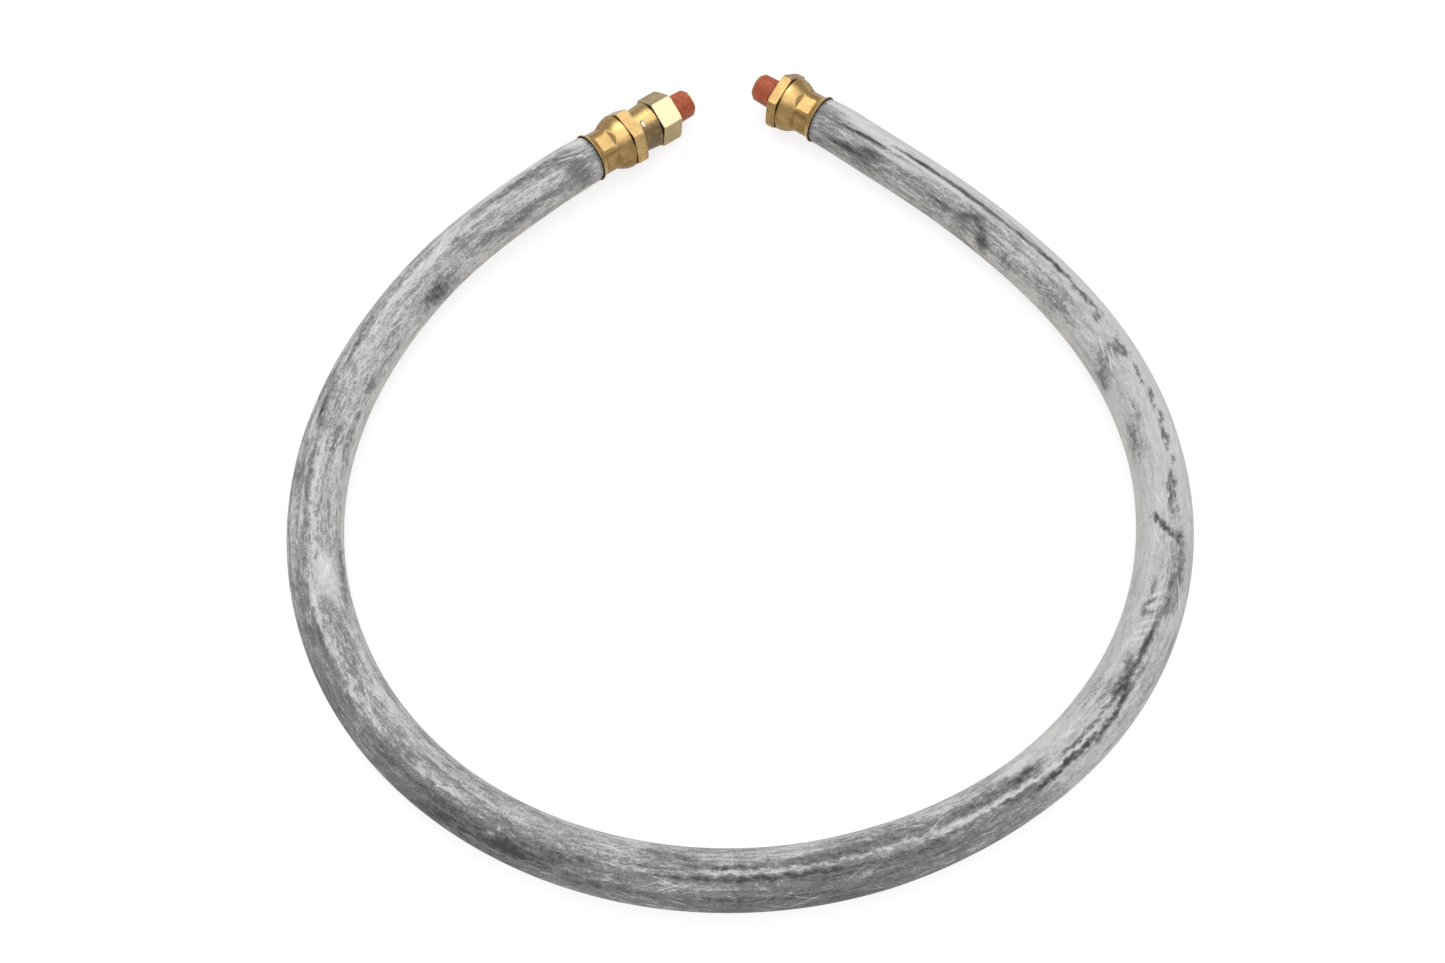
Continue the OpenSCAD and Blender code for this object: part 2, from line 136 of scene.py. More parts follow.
class Graph:
    """The node tree of one material or world, and the ways that nodes are added to it."""

    def __init__(self, tree: bpy.types.NodeTree) -> None:
        """Empties a node tree and takes it over."""
        self.tree = tree
        tree.nodes.clear()

    def node(self, kind: str, settings: Optional[dict] = None, inputs: Optional[dict] = None,
             output: Union[int, str] = 0) -> Sock:
        """Adds one node.

        Args:
            kind: The node's type.
            settings: Its properties, set first; stops is a colour ramp's list of
                (place, colour).
            inputs: The value or link of each socket, by its name or number.
            output: The name or number of the output to hand back.

        Returns:
            The chosen output.
        """
        made = self.tree.nodes.new(kind)
        for name, value in (settings or {}).items():
            if name == "stops":
                self.set_stops(made.color_ramp, value)
            else:
                setattr(made, name, value)
        for key, value in (inputs or {}).items():
            if isinstance(value, Sock):
                self.tree.links.new(value.socket, made.inputs[key])
            else:
                made.inputs[key].default_value = value
        return Sock(self, made.outputs[output] if len(made.outputs) else None)

    @staticmethod
    def set_stops(ramp: bpy.types.ColorRamp, stops: Sequence[tuple[float, Colour]]) -> None:
        """Gives a colour ramp its stops.

        Args:
            ramp: The ramp, with no more stops than it is to have.
            stops: The place and colour of each stop.
        """
        while len(ramp.elements) < len(stops):
            ramp.elements.new(0.5)
        for element, (place, colour) in zip(ramp.elements, stops):
            element.position = place
            element.color = (*colour, 1.0)

    def math(self, operation: str, first: Number, second: Number = 0.0) -> Sock:
        """Adds a Math node on one or two values."""
        return self.node("ShaderNodeMath", {"operation": operation}, {0: first, 1: second})

    def vector(self, operation: str, first: Sock, second: Sequence[float] = (0, 0, 0),
               output: Union[int, str] = 0) -> Sock:
        """Adds a Vector Math node on a vector and a fixed one."""
        inputs = {0: first, 1: tuple(second)}
        return self.node("ShaderNodeVectorMath", {"operation": operation}, inputs, output)

    def mix(self, share: Number, first: Union[Colour, Sock], second: Union[Colour, Sock]) -> Sock:
        """Mixes two colours.

        Args:
            share: How much of the second colour shows, from 0 to 1.
            first: The colour at 0.
            second: The colour at 1.

        Returns:
            The mixed colour.
        """
        ends = [c if isinstance(c, Sock) else (*c, 1.0) for c in (first, second)]
        inputs = {0: share, 6: ends[0], 7: ends[1]}
        return self.node("ShaderNodeMix", {"data_type": "RGBA"}, inputs, 2)

    def dot(self, vector: Sock, way: Sequence[float]) -> Sock:
        """The share of a vector along a fixed direction."""
        return self.vector("DOT_PRODUCT", vector, way, "Value")

    def lookup(self, value: Number, stops: Sequence[tuple[float, float]]) -> Sock:
        """Looks a value up in a table.

        Args:
            value: What is looked up, from 0 to 1.
            stops: The table's pairs of value and result, in rising order.

        Returns:
            The result, which runs evenly from one pair to the next.
        """
        greys = [(place, (tone, tone, tone)) for place, tone in stops]
        return self.node("ShaderNodeValToRGB", {"stops": greys}, {0: value})

    def attribute(self, name: str, output: str = "Fac") -> Sock:
        """Reads a named attribute of the mesh."""
        return self.node("ShaderNodeAttribute", {"attribute_name": name}, None, output)

    def place(self) -> Sock:
        """The point being shaded, in the piece's own frame."""
        return self.node("ShaderNodeTexCoord", None, None, "Object")

    def along_and_around(self) -> tuple[Sock, Sock]:
        """The distances along and around the hose of the point being shaded."""
        along = self.node("ShaderNodeSeparateXYZ", None, {0: self.attribute("lay", "Vector")})
        return along, along.sibling(1)

    def bump(self, height: Sock, depth: float, strength: float) -> Sock:
        """Tilts the normal by a height.

        Args:
            height: The height, from 0 to 1.
            depth: What a height of 1 stands for.
            strength: How much of the tilt is used.

        Returns:
            The tilted normal.
        """
        inputs = {"Strength": strength, "Distance": depth, "Height": height}
        return self.node("ShaderNodeBump", None, inputs)

    def surface(self, shader: Sock, kind: str = "ShaderNodeOutputMaterial") -> None:
        """Ends the graph in a shader."""
        self.node(kind, None, {"Surface": shader})

    def principled(self, **inputs: Union[float, Colour, Sock]) -> None:
        """Ends the graph in a Principled shader.

        Args:
            inputs: Its sockets, with an underscore for each space.
        """
        values = {}
        for name, value in inputs.items():
            is_colour = isinstance(value, tuple) and len(value) == 3
            values[name.replace("_", " ")] = (*value, 1.0) if is_colour else value
        self.surface(self.node("ShaderNodeBsdfPrincipled", None, values))


def new_graph(name: str) -> tuple[bpy.types.Material, Graph]:
    """Makes a material with no nodes.

    Args:
        name: The material's name.

    Returns:
        The material and the graph that its nodes go into.
    """
    material = bpy.data.materials.new(name)
    material.use_nodes = True
    return material, Graph(material.node_tree)


@dataclass(frozen=True)
class Grain:
    """One layer of noise in a finish.

    Args:
        size: The size of its largest blots.
        detail: How many finer layers it has.
        rough: How strong the finer layers are.
        twist: How much it is distorted.
        stretch: What each axis is multiplied by first; less than 1 draws the blots out.
        strength: How much it counts in the finish.
    """

    size: float
    detail: float = 4.0
    rough: float = 0.55
    twist: float = 0.0
    stretch: Optional[Point] = None
    strength: float = 1.0

    def read(self, g: Graph, at: Sock) -> Sock:
        """Reads the noise.

        Args:
            g: The graph that the nodes go into.
            at: Where it is read.

        Returns:
            A value about 0.5, from 0 to 1.
        """
        where = g.vector("MULTIPLY", at, self.stretch) if self.stretch else at
        inputs = {"Vector": where, "Scale": 1.0 / self.size, "Detail": self.detail,
                  "Roughness": self.rough, "Distortion": self.twist}
        return g.node("ShaderNodeTexNoise", None, inputs, "Fac")


def crossing(first: Sock, second: Sock) -> Sock:
    """The height of two sets of ridges that cross, from 0 to 1, from their phases."""
    return (first.sine() * second.sine()) * 0.5 + 0.5


# ---- Where the brass ends lie ----


@dataclass(frozen=True)
class EndAxis:
    """Where a brass end lies: its lip's centre, and its heading and dip in degrees."""

    at: Point
    heading: float
    dip: float

    def direction(self) -> Vector:
        """Turns the heading and the dip into a direction.

        Returns:
            The way that the end points, outwards from the hose.
        """
        turn, dip = math.radians(self.heading), math.radians(self.dip)
        flat = math.cos(dip)
        return Vector((math.cos(turn) * flat, math.sin(turn) * flat, -math.sin(dip)))

    def point(self, station: float) -> Vector:
        """The point on its axis that lies a station beyond its lip."""
        return Vector(self.at) + self.direction() * station

    def read(self, g: Graph) -> tuple[Sock, Sock]:
        """Finds the point being shaded along and around the axis.

        Args:
            g: The graph that the nodes go into.

        Returns:
            Its station in mm from the lip, and its turn about the axis, where 0.5 is on top.
        """
        axes = self.matrix().to_3x3()
        from_lip = g.vector("SUBTRACT", g.place(), self.at)
        up, side = g.dot(from_lip, -axes.col[0]), g.dot(from_lip, -axes.col[1])
        turn = g.math("ARCTAN2", side, up) / (2 * math.pi) + 0.5
        return g.dot(from_lip, axes.col[2]) / MM, turn

    def matrix(self) -> Matrix:
        """Turns and moves a piece that is drawn along +Z from the lip.

        Returns:
            The matrix that takes it to its place.
        """
        turn = Matrix.Rotation(math.radians(self.heading), 4, "Z")
        tip = Matrix.Rotation(math.radians(90 + self.dip), 4, "Y")
        return Matrix.Translation(self.at) @ turn @ tip


SWIVEL_AXIS = EndAxis((-0.05349, -0.02081, 0.0154), 40.4, 4.0)
FIXED_AXIS = EndAxis((0.05405, 0.003, 0.01476), 143.1, 1.5)


# ---- Finishes ----


@dataclass(frozen=True)
class ChalkedRubber:
    """Black rubber under a coat of pale dust that is rubbed off in streaks, with a painted beige
    reflection of the floor low on its flanks.

    Args:
        rubber: The bare rubber's colour.
        worn: Rubber with a little dust in its pores.
        dust: The dust's colour.
        flakes: The colour of the thickest dust.
        painted_bounce: The colour of the painted beige reflection of the floor on the dust low on
            the flanks.
        worn_shows: The dust levels between which worn takes over from rubber.
        dust_shows: Those between which dust takes over.
        flakes_show: Those between which flakes take over.
        painted_bounce_shows: Those between which that painted reflection comes in.
        blots: The broadest unevenness of the coat.
        streaks: The long rubbed lines.
        strokes: The short rubbed lines.
        grain: The finest unevenness.
        calms: The dust levels between which a calm coat evens out.
        scratch: The noise that fine scratches are cut from.
        scratch_edge: The noise values between which a scratch begins.
        scratch_slopes: How far each set of scratches climbs for each unit along.
        scratch_length: How drawn out a scratch is; less is longer.
        scratched: The values of the blots between which scratches show.
        scratch_strength: How much dust a scratch adds.
        weave_pitch: The pitch of the cloth's print.
        weave_strength: How much the print shows in the dust.
        weave_relief: The print's share of the relief.
        relief: The height of the coat.
        tilt: How much of the relief shows.
        roughness: The roughness of thick dust.
        rubbed_gloss: How much less rough the bare rubber is.
        specular: The strength of its reflections.
    """

    rubber: Colour = (0.052, 0.052, 0.054)
    worn: Colour = (0.205, 0.203, 0.20)
    dust: Colour = (0.55, 0.545, 0.535)
    flakes: Colour = (0.78, 0.775, 0.765)
    painted_bounce: Colour = (0.66, 0.595, 0.53)
    worn_shows: Span = (-0.15, 0.50)
    dust_shows: Span = (0.36, 0.88)
    flakes_show: Span = (0.95, 1.35)
    painted_bounce_shows: Span = (0.3, 0.8)
    blots: Grain = Grain(14 * MM, 5, 0.65, 0.8, (1, 1, 0.4), strength=0.8)
    streaks: Grain = Grain(1.8 * MM, 5, 0.68, stretch=(1, 1, 0.05), strength=0.78)
    strokes: Grain = Grain(1.1 * MM, 5, 0.72, 0.4, (1, 1, 0.22), strength=1.15)
    grain: Grain = Grain(0.8 * MM, 4, 0.75)
    calms: Span = (0.5, 0.78)
    scratch: Grain = Grain(0.8 * MM, 2, 0.5)
    scratch_edge: Span = (0.64, 0.70)
    scratch_slopes: Span = (0.42, -0.28)
    scratch_length: float = 0.035
    scratched: Span = (0.42, 0.55)
    scratch_strength: float = 0.42
    weave_pitch: float = 0.95 * MM
    weave_strength: float = 0.05
    weave_relief: float = 0.2
    relief: float = 0.12 * MM
    tilt: float = 0.5
    roughness: float = 0.92
    rubbed_gloss: float = 0.2
    specular: float = 0.3

    def build(self) -> bpy.types.Material:
        """Makes the material; the cover's own attributes say where the dust and the painted
        reflection lie.

        Returns:
            The material.
        """
        material, g = new_graph("chalked_rubber")
        at = g.attribute("hose_place", "Vector")
        base = g.attribute("dust")
        blots, weave = self.blots.read(g, at), self.weave(g)
        uneven = blots.centred(self.blots.strength)
        for layer in (self.streaks, self.strokes, self.grain):
            uneven = uneven + layer.read(g, at).centred(layer.strength)
        uneven = uneven + weave.centred(self.weave_strength)
        uneven = uneven * (1 - g.attribute("calm") * base.step(*self.calms))
        one_way, other_way = (self.scratches(g, slope) for slope in self.scratch_slopes)
        scratches = (one_way + other_way) * blots.step(*self.scratched)
        level = base + uneven + scratches * self.scratch_strength
        colour = g.mix(level.step(*self.worn_shows), self.rubber, self.worn)
        colour = g.mix(level.step(*self.dust_shows), colour, self.dust)
        colour = g.mix(level.step(*self.flakes_show), colour, self.flakes)
        # Painted reflection: a beige tint of light bounced off the floor, on the dust low on the
        # flanks.
        colour = g.mix(g.attribute("painted_bounce") * level.step(*self.painted_bounce_shows), colour, self.painted_bounce)
        covered = level.clamp()
        height = covered * (1 - self.weave_relief) + weave * self.weave_relief
        roughness = self.roughness - self.rubbed_gloss * (1 - covered)
        g.principled(Base_Color=colour, Roughness=roughness, Specular_IOR_Level=self.specular,
                     Normal=g.bump(height, self.relief, self.tilt))
        return material

    def scratches(self, g: Graph, slope: float) -> Sock:
        """Fine pale scratches that climb round the hose.

        Args:
            g: The graph that the nodes go into.
            slope: How far they climb for each unit along the hose.

        Returns:
            1 in a scratch and 0 beside it.
        """
        lay = g.attribute("lay", "Vector")
        across, along = g.dot(lay, (slope, 1, 0)), g.dot(lay, (self.scratch_length, 0, 0))
        where = g.node("ShaderNodeCombineXYZ", None, {0: across, 1: along, 2: slope})
        return self.scratch.read(g, where).step(*self.scratch_edge)

    def weave(self, g: Graph) -> Sock:
        """The print of the cloth that the hose was cured in.

        Args:
            g: The graph that the nodes go into.

        Returns:
            The print's height, from 0 to 1.
        """
        along, around = g.along_and_around()
        turn = 2 * math.pi / self.weave_pitch
        return crossing(along * turn, around * turn)


@dataclass(frozen=True)
class Band:
    """How tarnished a brass piece is round one stretch of its axis, with painted shade and painted
    highlights by facet mixed in.

    Args:
        start: Where the stretch begins, in mm from the lip.
        end: Where it ends.
        tones: Pairs of degrees, 0 on top, and tarnish there, where low values paint highlights and
            high values paint shade over the real tarnish; it runs evenly in between.
        edge: How far its start and end fade to either side, in mm.
    """

    start: float
    end: float
    tones: Table
    edge: float = 0.3

    def read(self, g: Graph, station: Sock, turn: Sock) -> Sock:
        """Reads the tarnish and the painted shade and highlights in this stretch.

        Args:
            g: The graph that the nodes go into.
            station: The point's station in mm from the lip.
            turn: Its turn about the axis, where 0.5 is on top.

        Returns:
            The tarnish with its painted shade and highlights, and 0 outside the stretch.
        """
        first, last = self.tones[0], self.tones[-1]
        gap = first[0] + 360 - last[0]
        seam = last[1] + (first[1] - last[1]) * (180 - last[0]) / gap
        middle = ((degrees / 360 + 0.5, tone) for degrees, tone in self.tones)
        stops = [(0.0, seam), *middle, (1.0, seam)]
        begun = station.step(self.start - self.edge, self.start + self.edge)
        over = station.step(self.end - self.edge, self.end + self.edge)
        return g.lookup(turn, stops) * (begun * (1 - over))


def facets(corner: float, tones: Sequence[float], edge: float = 1.2) -> Table:
    """Tones that change only at the corners of a hexagon, so that each flat gets its own painted
    highlight and painted shade over the tarnish.

    Args:
        corner: The first corner's angle in degrees, between -180 and -120.
        tones: The tone of each of its six flats, the first one just after that corner.
        edge: How many degrees each change takes, on either side of the corner.

    Returns:
        Pairs of degrees and tone.
    """
    pairs = []
    for i, tone in enumerate(tones):
        pairs.append((corner + 60 * i - edge, tones[i - 1]))
        pairs.append((corner + 60 * i + edge, tone))
    return tuple(pairs)


@dataclass(frozen=True)
class Brass:
    """Brass that is bright where clean and dark where tarnished, with its hollows darkened as oxide
    and as painted shade, and its facets round its axis given painted highlights and painted shade
    over the tarnish.

    Args:
        name: The material's name.
        bright: The clean brass's colour.
        tarnish_and_shade: The colour of tarnished brass, and of painted shade.
        roughness: The clean brass's roughness.
        tarnish: How tarnished it is, where no bands say it.
        axis: The axis that the bands lie round.
        bands: Its tarnish, painted shade and painted highlights round each stretch of the axis.
        mottle: How uneven the tarnish is.
        stain: How far stains cover the tarnish.
        stained: The stains' colour.
        stain_shows: The values of the spots between which a stain comes in.
        cloud: The broad unevenness.
        spots: The small unevenness.
        rubs: The fine lines.
        forged: The fine grain of the surface.
        hollow: How close walls have to be for a hollow to be darkened.
        hollow_samples: How finely hollows are looked for.
        dirt_and_shade: How much a hollow darkens the brass, as oxide and as painted shade.
        shine: How much tarnish is taken off all over.
        dull: How much rougher the tarnish is.
        rub_relief: How much the fine lines add to the grain.
        relief: The height of the grain.
        tilt: How much of the relief shows.
    """

    name: str
    bright: Colour
    tarnish_and_shade: Colour
    roughness: float = 0.3
    tarnish: float = 0.5
    axis: Optional[EndAxis] = None
    bands: tuple[Band, ...] = ()
    mottle: float = 0.6
    stain: float = 0.0
    stained: Colour = (0.15, 0.15, 0.115)
    stain_shows: Span = (0.46, 0.60)
    cloud: Grain = Grain(5 * MM, 5, 0.62, 0.8, strength=1.5)
    spots: Grain = Grain(1.3 * MM, 4, 0.65)
    rubs: Grain = Grain(0.35 * MM, 3, 0.6, stretch=(1, 0.35, 1), strength=0.5)
    forged: Grain = Grain(0.5 * MM, 3, 0.6)
    hollow: float = 1.6 * MM
    hollow_samples: int = 8
    dirt_and_shade: float = 0.9
    shine: float = 0.1
    dull: float = 0.2
    rub_relief: float = 0.4
    relief: float = 0.03 * MM
    tilt: float = 0.7

    def build(self) -> bpy.types.Material:
        """Makes the material.

        Returns:
            The material.
        """
        material, g = new_graph(self.name)
        at = g.place()
        cloud, spots, rubs, forged = (
            layer.read(g, at) for layer in (self.cloud, self.spots, self.rubs, self.forged))
        uneven = cloud.centred(self.cloud.strength) + spots.centred(self.spots.strength)
        uneven = uneven + rubs.centred(self.rubs.strength)
        open_sky = g.node("ShaderNodeAmbientOcclusion", {"samples": self.hollow_samples},
                          {"Distance": self.hollow}, "AO")
        # Painted shade: ambient occlusion darkens hollows and the gaps between pieces, over the
        # oxide that gathers there.
        tarnish_and_shade = uneven * self.mottle + (1 - open_sky) * self.dirt_and_shade
        # The bands add painted highlights on the facets that would mirror the overhead lamp and
        # painted shade on those that face away, over the real tarnish.
        tarnish_and_shade = (tarnish_and_shade + self.level(g) - self.shine).clamp()
        colour = g.mix(tarnish_and_shade, self.bright, self.tarnish_and_shade)
        stain = tarnish_and_shade * spots.step(*self.stain_shows) * self.stain
        colour = g.mix(stain, colour, self.stained)
        height = forged + rubs * self.rub_relief
        g.principled(Base_Color=colour, Metallic=1.0,
                     Roughness=self.roughness + self.dull * tarnish_and_shade,
                     Normal=g.bump(height, self.relief, self.tilt))
        return material

    def level(self, g: Graph) -> Number:
        """The tarnish before its unevenness, with the bands' painted shade and painted highlights.

        Args:
            g: The graph that the nodes go into.

        Returns:
            One value, or what the bands round the axis say.
        """
        if self.axis is None:
            return self.tarnish
        station, turn = self.axis.read(g)
        total = self.bands[0].read(g, station, turn)
        for band in self.bands[1:]:
            total = total + band.read(g, station, turn)
        return total


@dataclass(frozen=True)
class DriedSealant:
    """Brick-red thread sealant, dried matte, paler on the crests.

    Args:
        crest: The colour on the thread's crests.
        root: The colour in its roots and in stains.
        cake: The colour where the sealant is caked.
        cloud: The broad unevenness, which shifts crest and root.
        grain: The fine grain.
        stain: The noise that stains are cut from.
        lift: How far the crest's colour reaches down.
        cake_shows: The noise values between which caked sealant comes in.
        stain_shows: Those between which a stain comes in.
        cover: How far cake and stains cover what lies below.
        relief: The height of the grain.
        tilt: How much of the relief shows.
        roughness: Its roughness.
        specular: The strength of its reflections.
    """

    crest: Colour = (0.46, 0.095, 0.034)
    root: Colour = (0.19, 0.034, 0.013)
    cake: Colour = (0.64, 0.22, 0.11)
    cloud: Grain = Grain(3.5 * MM, 4, 0.6, strength=1.3)
    grain: Grain = Grain(0.5 * MM, 3, 0.6, strength=0.5)
    stain: Grain = Grain(6 * MM, 3, 0.6, 0.6)
    lift: float = 0.1
    cake_shows: Span = (0.78, 1.05)
    stain_shows: Span = (0.54, 0.68)
    cover: float = 0.55
    relief: float = 0.08 * MM
    tilt: float = 0.6
    roughness: float = 0.58
    specular: float = 0.4

    def build(self) -> bpy.types.Material:
        """Makes the material; the thread's own attribute says how high the crest is.

        Returns:
            The material.
        """
        material, g = new_graph("dried_sealant")
        at = g.place()
        cloud, grain, stain = (layer.read(g, at) for layer in (self.cloud, self.grain, self.stain))
        crest = g.attribute("crest") + cloud.centred(self.cloud.strength) + self.lift
        colour = g.mix(crest.clamp(), self.root, self.crest)
        cake = (cloud + grain * self.grain.strength).step(*self.cake_shows)
        colour = g.mix(cake * self.cover, colour, self.cake)
        colour = g.mix(stain.step(*self.stain_shows) * self.cover, colour, self.root)
        g.principled(Base_Color=colour, Roughness=self.roughness,
                     Specular_IOR_Level=self.specular,
                     Normal=g.bump(grain, self.relief, self.tilt))
        return material


@dataclass(frozen=True)
class Braid:
    """Tight cord braid, two ways round the hose.

    Args:
        cord: The cord's colour.
        gap: The colour between the cords.
        pitch: How far apart the cords lie.
        relief: The height of the cords.
        tilt: How much of the relief shows.
        roughness: Its roughness.
    """

    cord: Colour = (0.55, 0.50, 0.38)
    gap: Colour = (0.16, 0.14, 0.10)
    pitch: float = 2.4 * MM
    relief: float = 0.3 * MM
    tilt: float = 0.7
    roughness: float = 0.85

    def build(self) -> bpy.types.Material:
        """Makes the material from the hose's own lay.

        Returns:
            The material.
        """
        material, g = new_graph("textile_braid")
        along, around = g.along_and_around()
        turn = 2 * math.pi / self.pitch
        height = crossing((along + around) * turn, (along - around) * turn)
        g.principled(Base_Color=g.mix(height, self.gap, self.cord), Roughness=self.roughness,
                     Normal=g.bump(height, self.relief, self.tilt))
        return material


@dataclass(frozen=True)
class Plain:
    """An even finish whose colour and gloss waver a little.

    Args:
        name: The material's name.
        dark: Its darker colour.
        light: Its lighter colour.
        metallic: 1 for a metal and 0 for anything else.
        roughness: Its lowest roughness.
        cloud: Its unevenness.
        relief: The height of the unevenness.
        waver: How much the roughness varies.
        tilt: How much of the relief shows.
    """

    name: str
    dark: Colour = (0.022, 0.022, 0.024)
    light: Colour = (0.044, 0.044, 0.048)
    metallic: float = 0.0
    roughness: float = 0.5
    cloud: Grain = Grain(2 * MM)
    relief: float = 0.02 * MM
    waver: float = 0.2
    tilt: float = 0.5

    def build(self) -> bpy.types.Material:
        """Makes the material.

        Returns:
            The material.
        """
        material, g = new_graph(self.name)
        cloud = self.cloud.read(g, g.place())
        g.principled(Base_Color=g.mix(cloud, self.dark, self.light), Metallic=self.metallic,
                     Roughness=self.roughness + self.waver * cloud,
                     Normal=g.bump(cloud, self.relief, self.tilt))
        return material


# ---- Meshes ----


def mesh_piece(name: str, points: np.ndarray, faces: Sequence[Sequence[int]],
               smooth: bool = True) -> bpy.types.Object:
    """Makes a mesh object and links it to the scene.

    Args:
        name: Its name, and its mesh's.
        points: Its points, one a row.
        faces: The numbers of each face's points.
        smooth: Whether its faces are shaded smooth.

    Returns:
        The object.
    """
    mesh = bpy.data.meshes.new(name)
    mesh.from_pydata([tuple(p) for p in points], [], faces)
    mesh.polygons.foreach_set("use_smooth", [smooth] * len(mesh.polygons))
    mesh.update()
    piece = bpy.data.objects.new(name, mesh)
    bpy.context.scene.collection.objects.link(piece)
    return piece


def put_values(piece: bpy.types.Object, name: str, values: np.ndarray) -> None:
    """Stores a number or a vector for each point of a mesh.

    Args:
        piece: The mesh's object.
        name: The name that the values are stored under.
        values: A row of numbers, or a vector a row.
    """
    kind, field_name = ("FLOAT", "value") if values.ndim == 1 else ("FLOAT_VECTOR", "vector")
    layer = piece.data.attributes.new(name, kind, "POINT")
    layer.data.foreach_set(field_name, values.astype(np.float32).ravel())


def coat(piece: bpy.types.Object, material: bpy.types.Material) -> None:
    """Gives a piece its only finish.

    Args:
        piece: The piece.
        material: The finish.
    """
    piece.data.materials.clear()
    piece.data.materials.append(material)


def dress(piece: bpy.types.Object, material: bpy.types.Material, body: Body) -> None:
    """Gives a drawn piece its finish and the body that it rides on."""
    coat(piece, material)
    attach(piece, body.value)


def wall_faces(outer_rows: int, inner_rows: int, sides: int) -> list[tuple[int, ...]]:
    """Faces of a closed wall: its outer skin's, its inner skin's, then those of its rims.

    Args:
        outer_rows: Rings of the outer skin, whose points come first.
        inner_rows: Rings of the inner skin.
        sides: Points in each ring.

    Returns:
        The faces, which look out of the wall.
    """
    faces = []
    half, last = outer_rows * sides, (outer_rows + inner_rows - 1) * sides
    for first, rows in ((0, outer_rows), (half, inner_rows)):
        for i in range(rows - 1):
            for k in range(sides):
                a, b = first + i * sides + k, first + i * sides + (k + 1) % sides
                face = (a, b, b + sides, a + sides)
                faces.append(face[::-1] if first else face)
    for k in range(sides):
        n = (k + 1) % sides
        faces.append((k, half + k, half + n, n))
        faces.append((half - sides + k, half - sides + n, last + n, last + k))
    return faces


def ring_turns(sides: int) -> np.ndarray:
    """The angle of each point of a ring: 0 on top, starting from below."""
    return (np.arange(sides) / sides * 2 - 1) * math.pi


def ramp(values: np.ndarray, low: float, high: float) -> np.ndarray:
    """Rises evenly from 0 to 1 as the values go from low to high."""
    return np.clip((values - low) / (high - low), 0, 1)


def from_table(values: np.ndarray, table: Table) -> np.ndarray:
    """Looks values up in a table's pairs of value and result."""
    return np.interp(values, *np.array(table).T)


# ---- The hose's line ----


# The hose's own route between its two straight ends, in mm: each point's place seen
# from above, and how far the hose is lifted off the floor there
ROUTE = [
    (-73.5, -38.4, 5.4), (-92.5, -55.9, 4.9), (-111.8, -75.5, 3.2), (-132.0, -103.5, 1.1),
    (-149.2, -141.7, 0.1), (-157.1, -188.8, 0.0), (-147.7, -244.7, 0.0), (-117.8, -294.0, 0.0),
    (-71.5, -328.8, 0.0), (-20.2, -345.2, 0.0), (35.6, -345.8, 0.0), (90.2, -330.0, 0.0),
    (137.8, -299.0, 0.0), (172.5, -252.8, 0.0), (186.9, -198.8, 0.0), (180.6, -143.5, 0.0),
    (160.4, -100.1, 0.1), (137.2, -70.0, 0.8), (114.7, -47.4, 2.1), (95.2, -30.3, 3.0),
    (76.8, -15.2, 3.5),
]


def smooth_line(points: np.ndarray, first_way: np.ndarray, last_way: np.ndarray,
                step: float) -> np.ndarray:
    """Draws the smoothest curve through some points, as a bent rod would lie.

    Args:
        points: The points it passes, one a row.
        first_way: The unit direction in which it leaves the first point.
        last_way: The unit direction in which it reaches the last one.
        step: About how far apart the curve's own points are.

    Returns:
        The curve's points, one a row.
    """
    gaps = np.linalg.norm(np.diff(points, axis=0), axis=1)
    count = len(points)
    system, right = np.eye(count), np.zeros_like(points)
    right[0], right[-1] = first_way, last_way
    for i in range(1, count - 1):
        before, after = gaps[i - 1], gaps[i]
        system[i, i - 1:i + 2] = after, 2 * (before + after), before
        right[i] = 3 * (after / before * (points[i] - points[i - 1])
                        + before / after * (points[i + 1] - points[i]))
    slopes = np.linalg.solve(system, right)
    drawn = []
    for i, gap in enumerate(gaps):
        t = np.linspace(0, 1, max(2, round(gap / step)), endpoint=False)[:, None]
        start = (2 * t**3 - 3 * t**2 + 1) * points[i] + (t**3 - 2 * t**2 + t) * gap * slopes[i]
        drawn.append(start + (3 * t**2 - 2 * t**3) * points[i + 1]
                     + (t**3 - t**2) * gap * slopes[i + 1])
    return np.vstack([*drawn, points[-1:]])


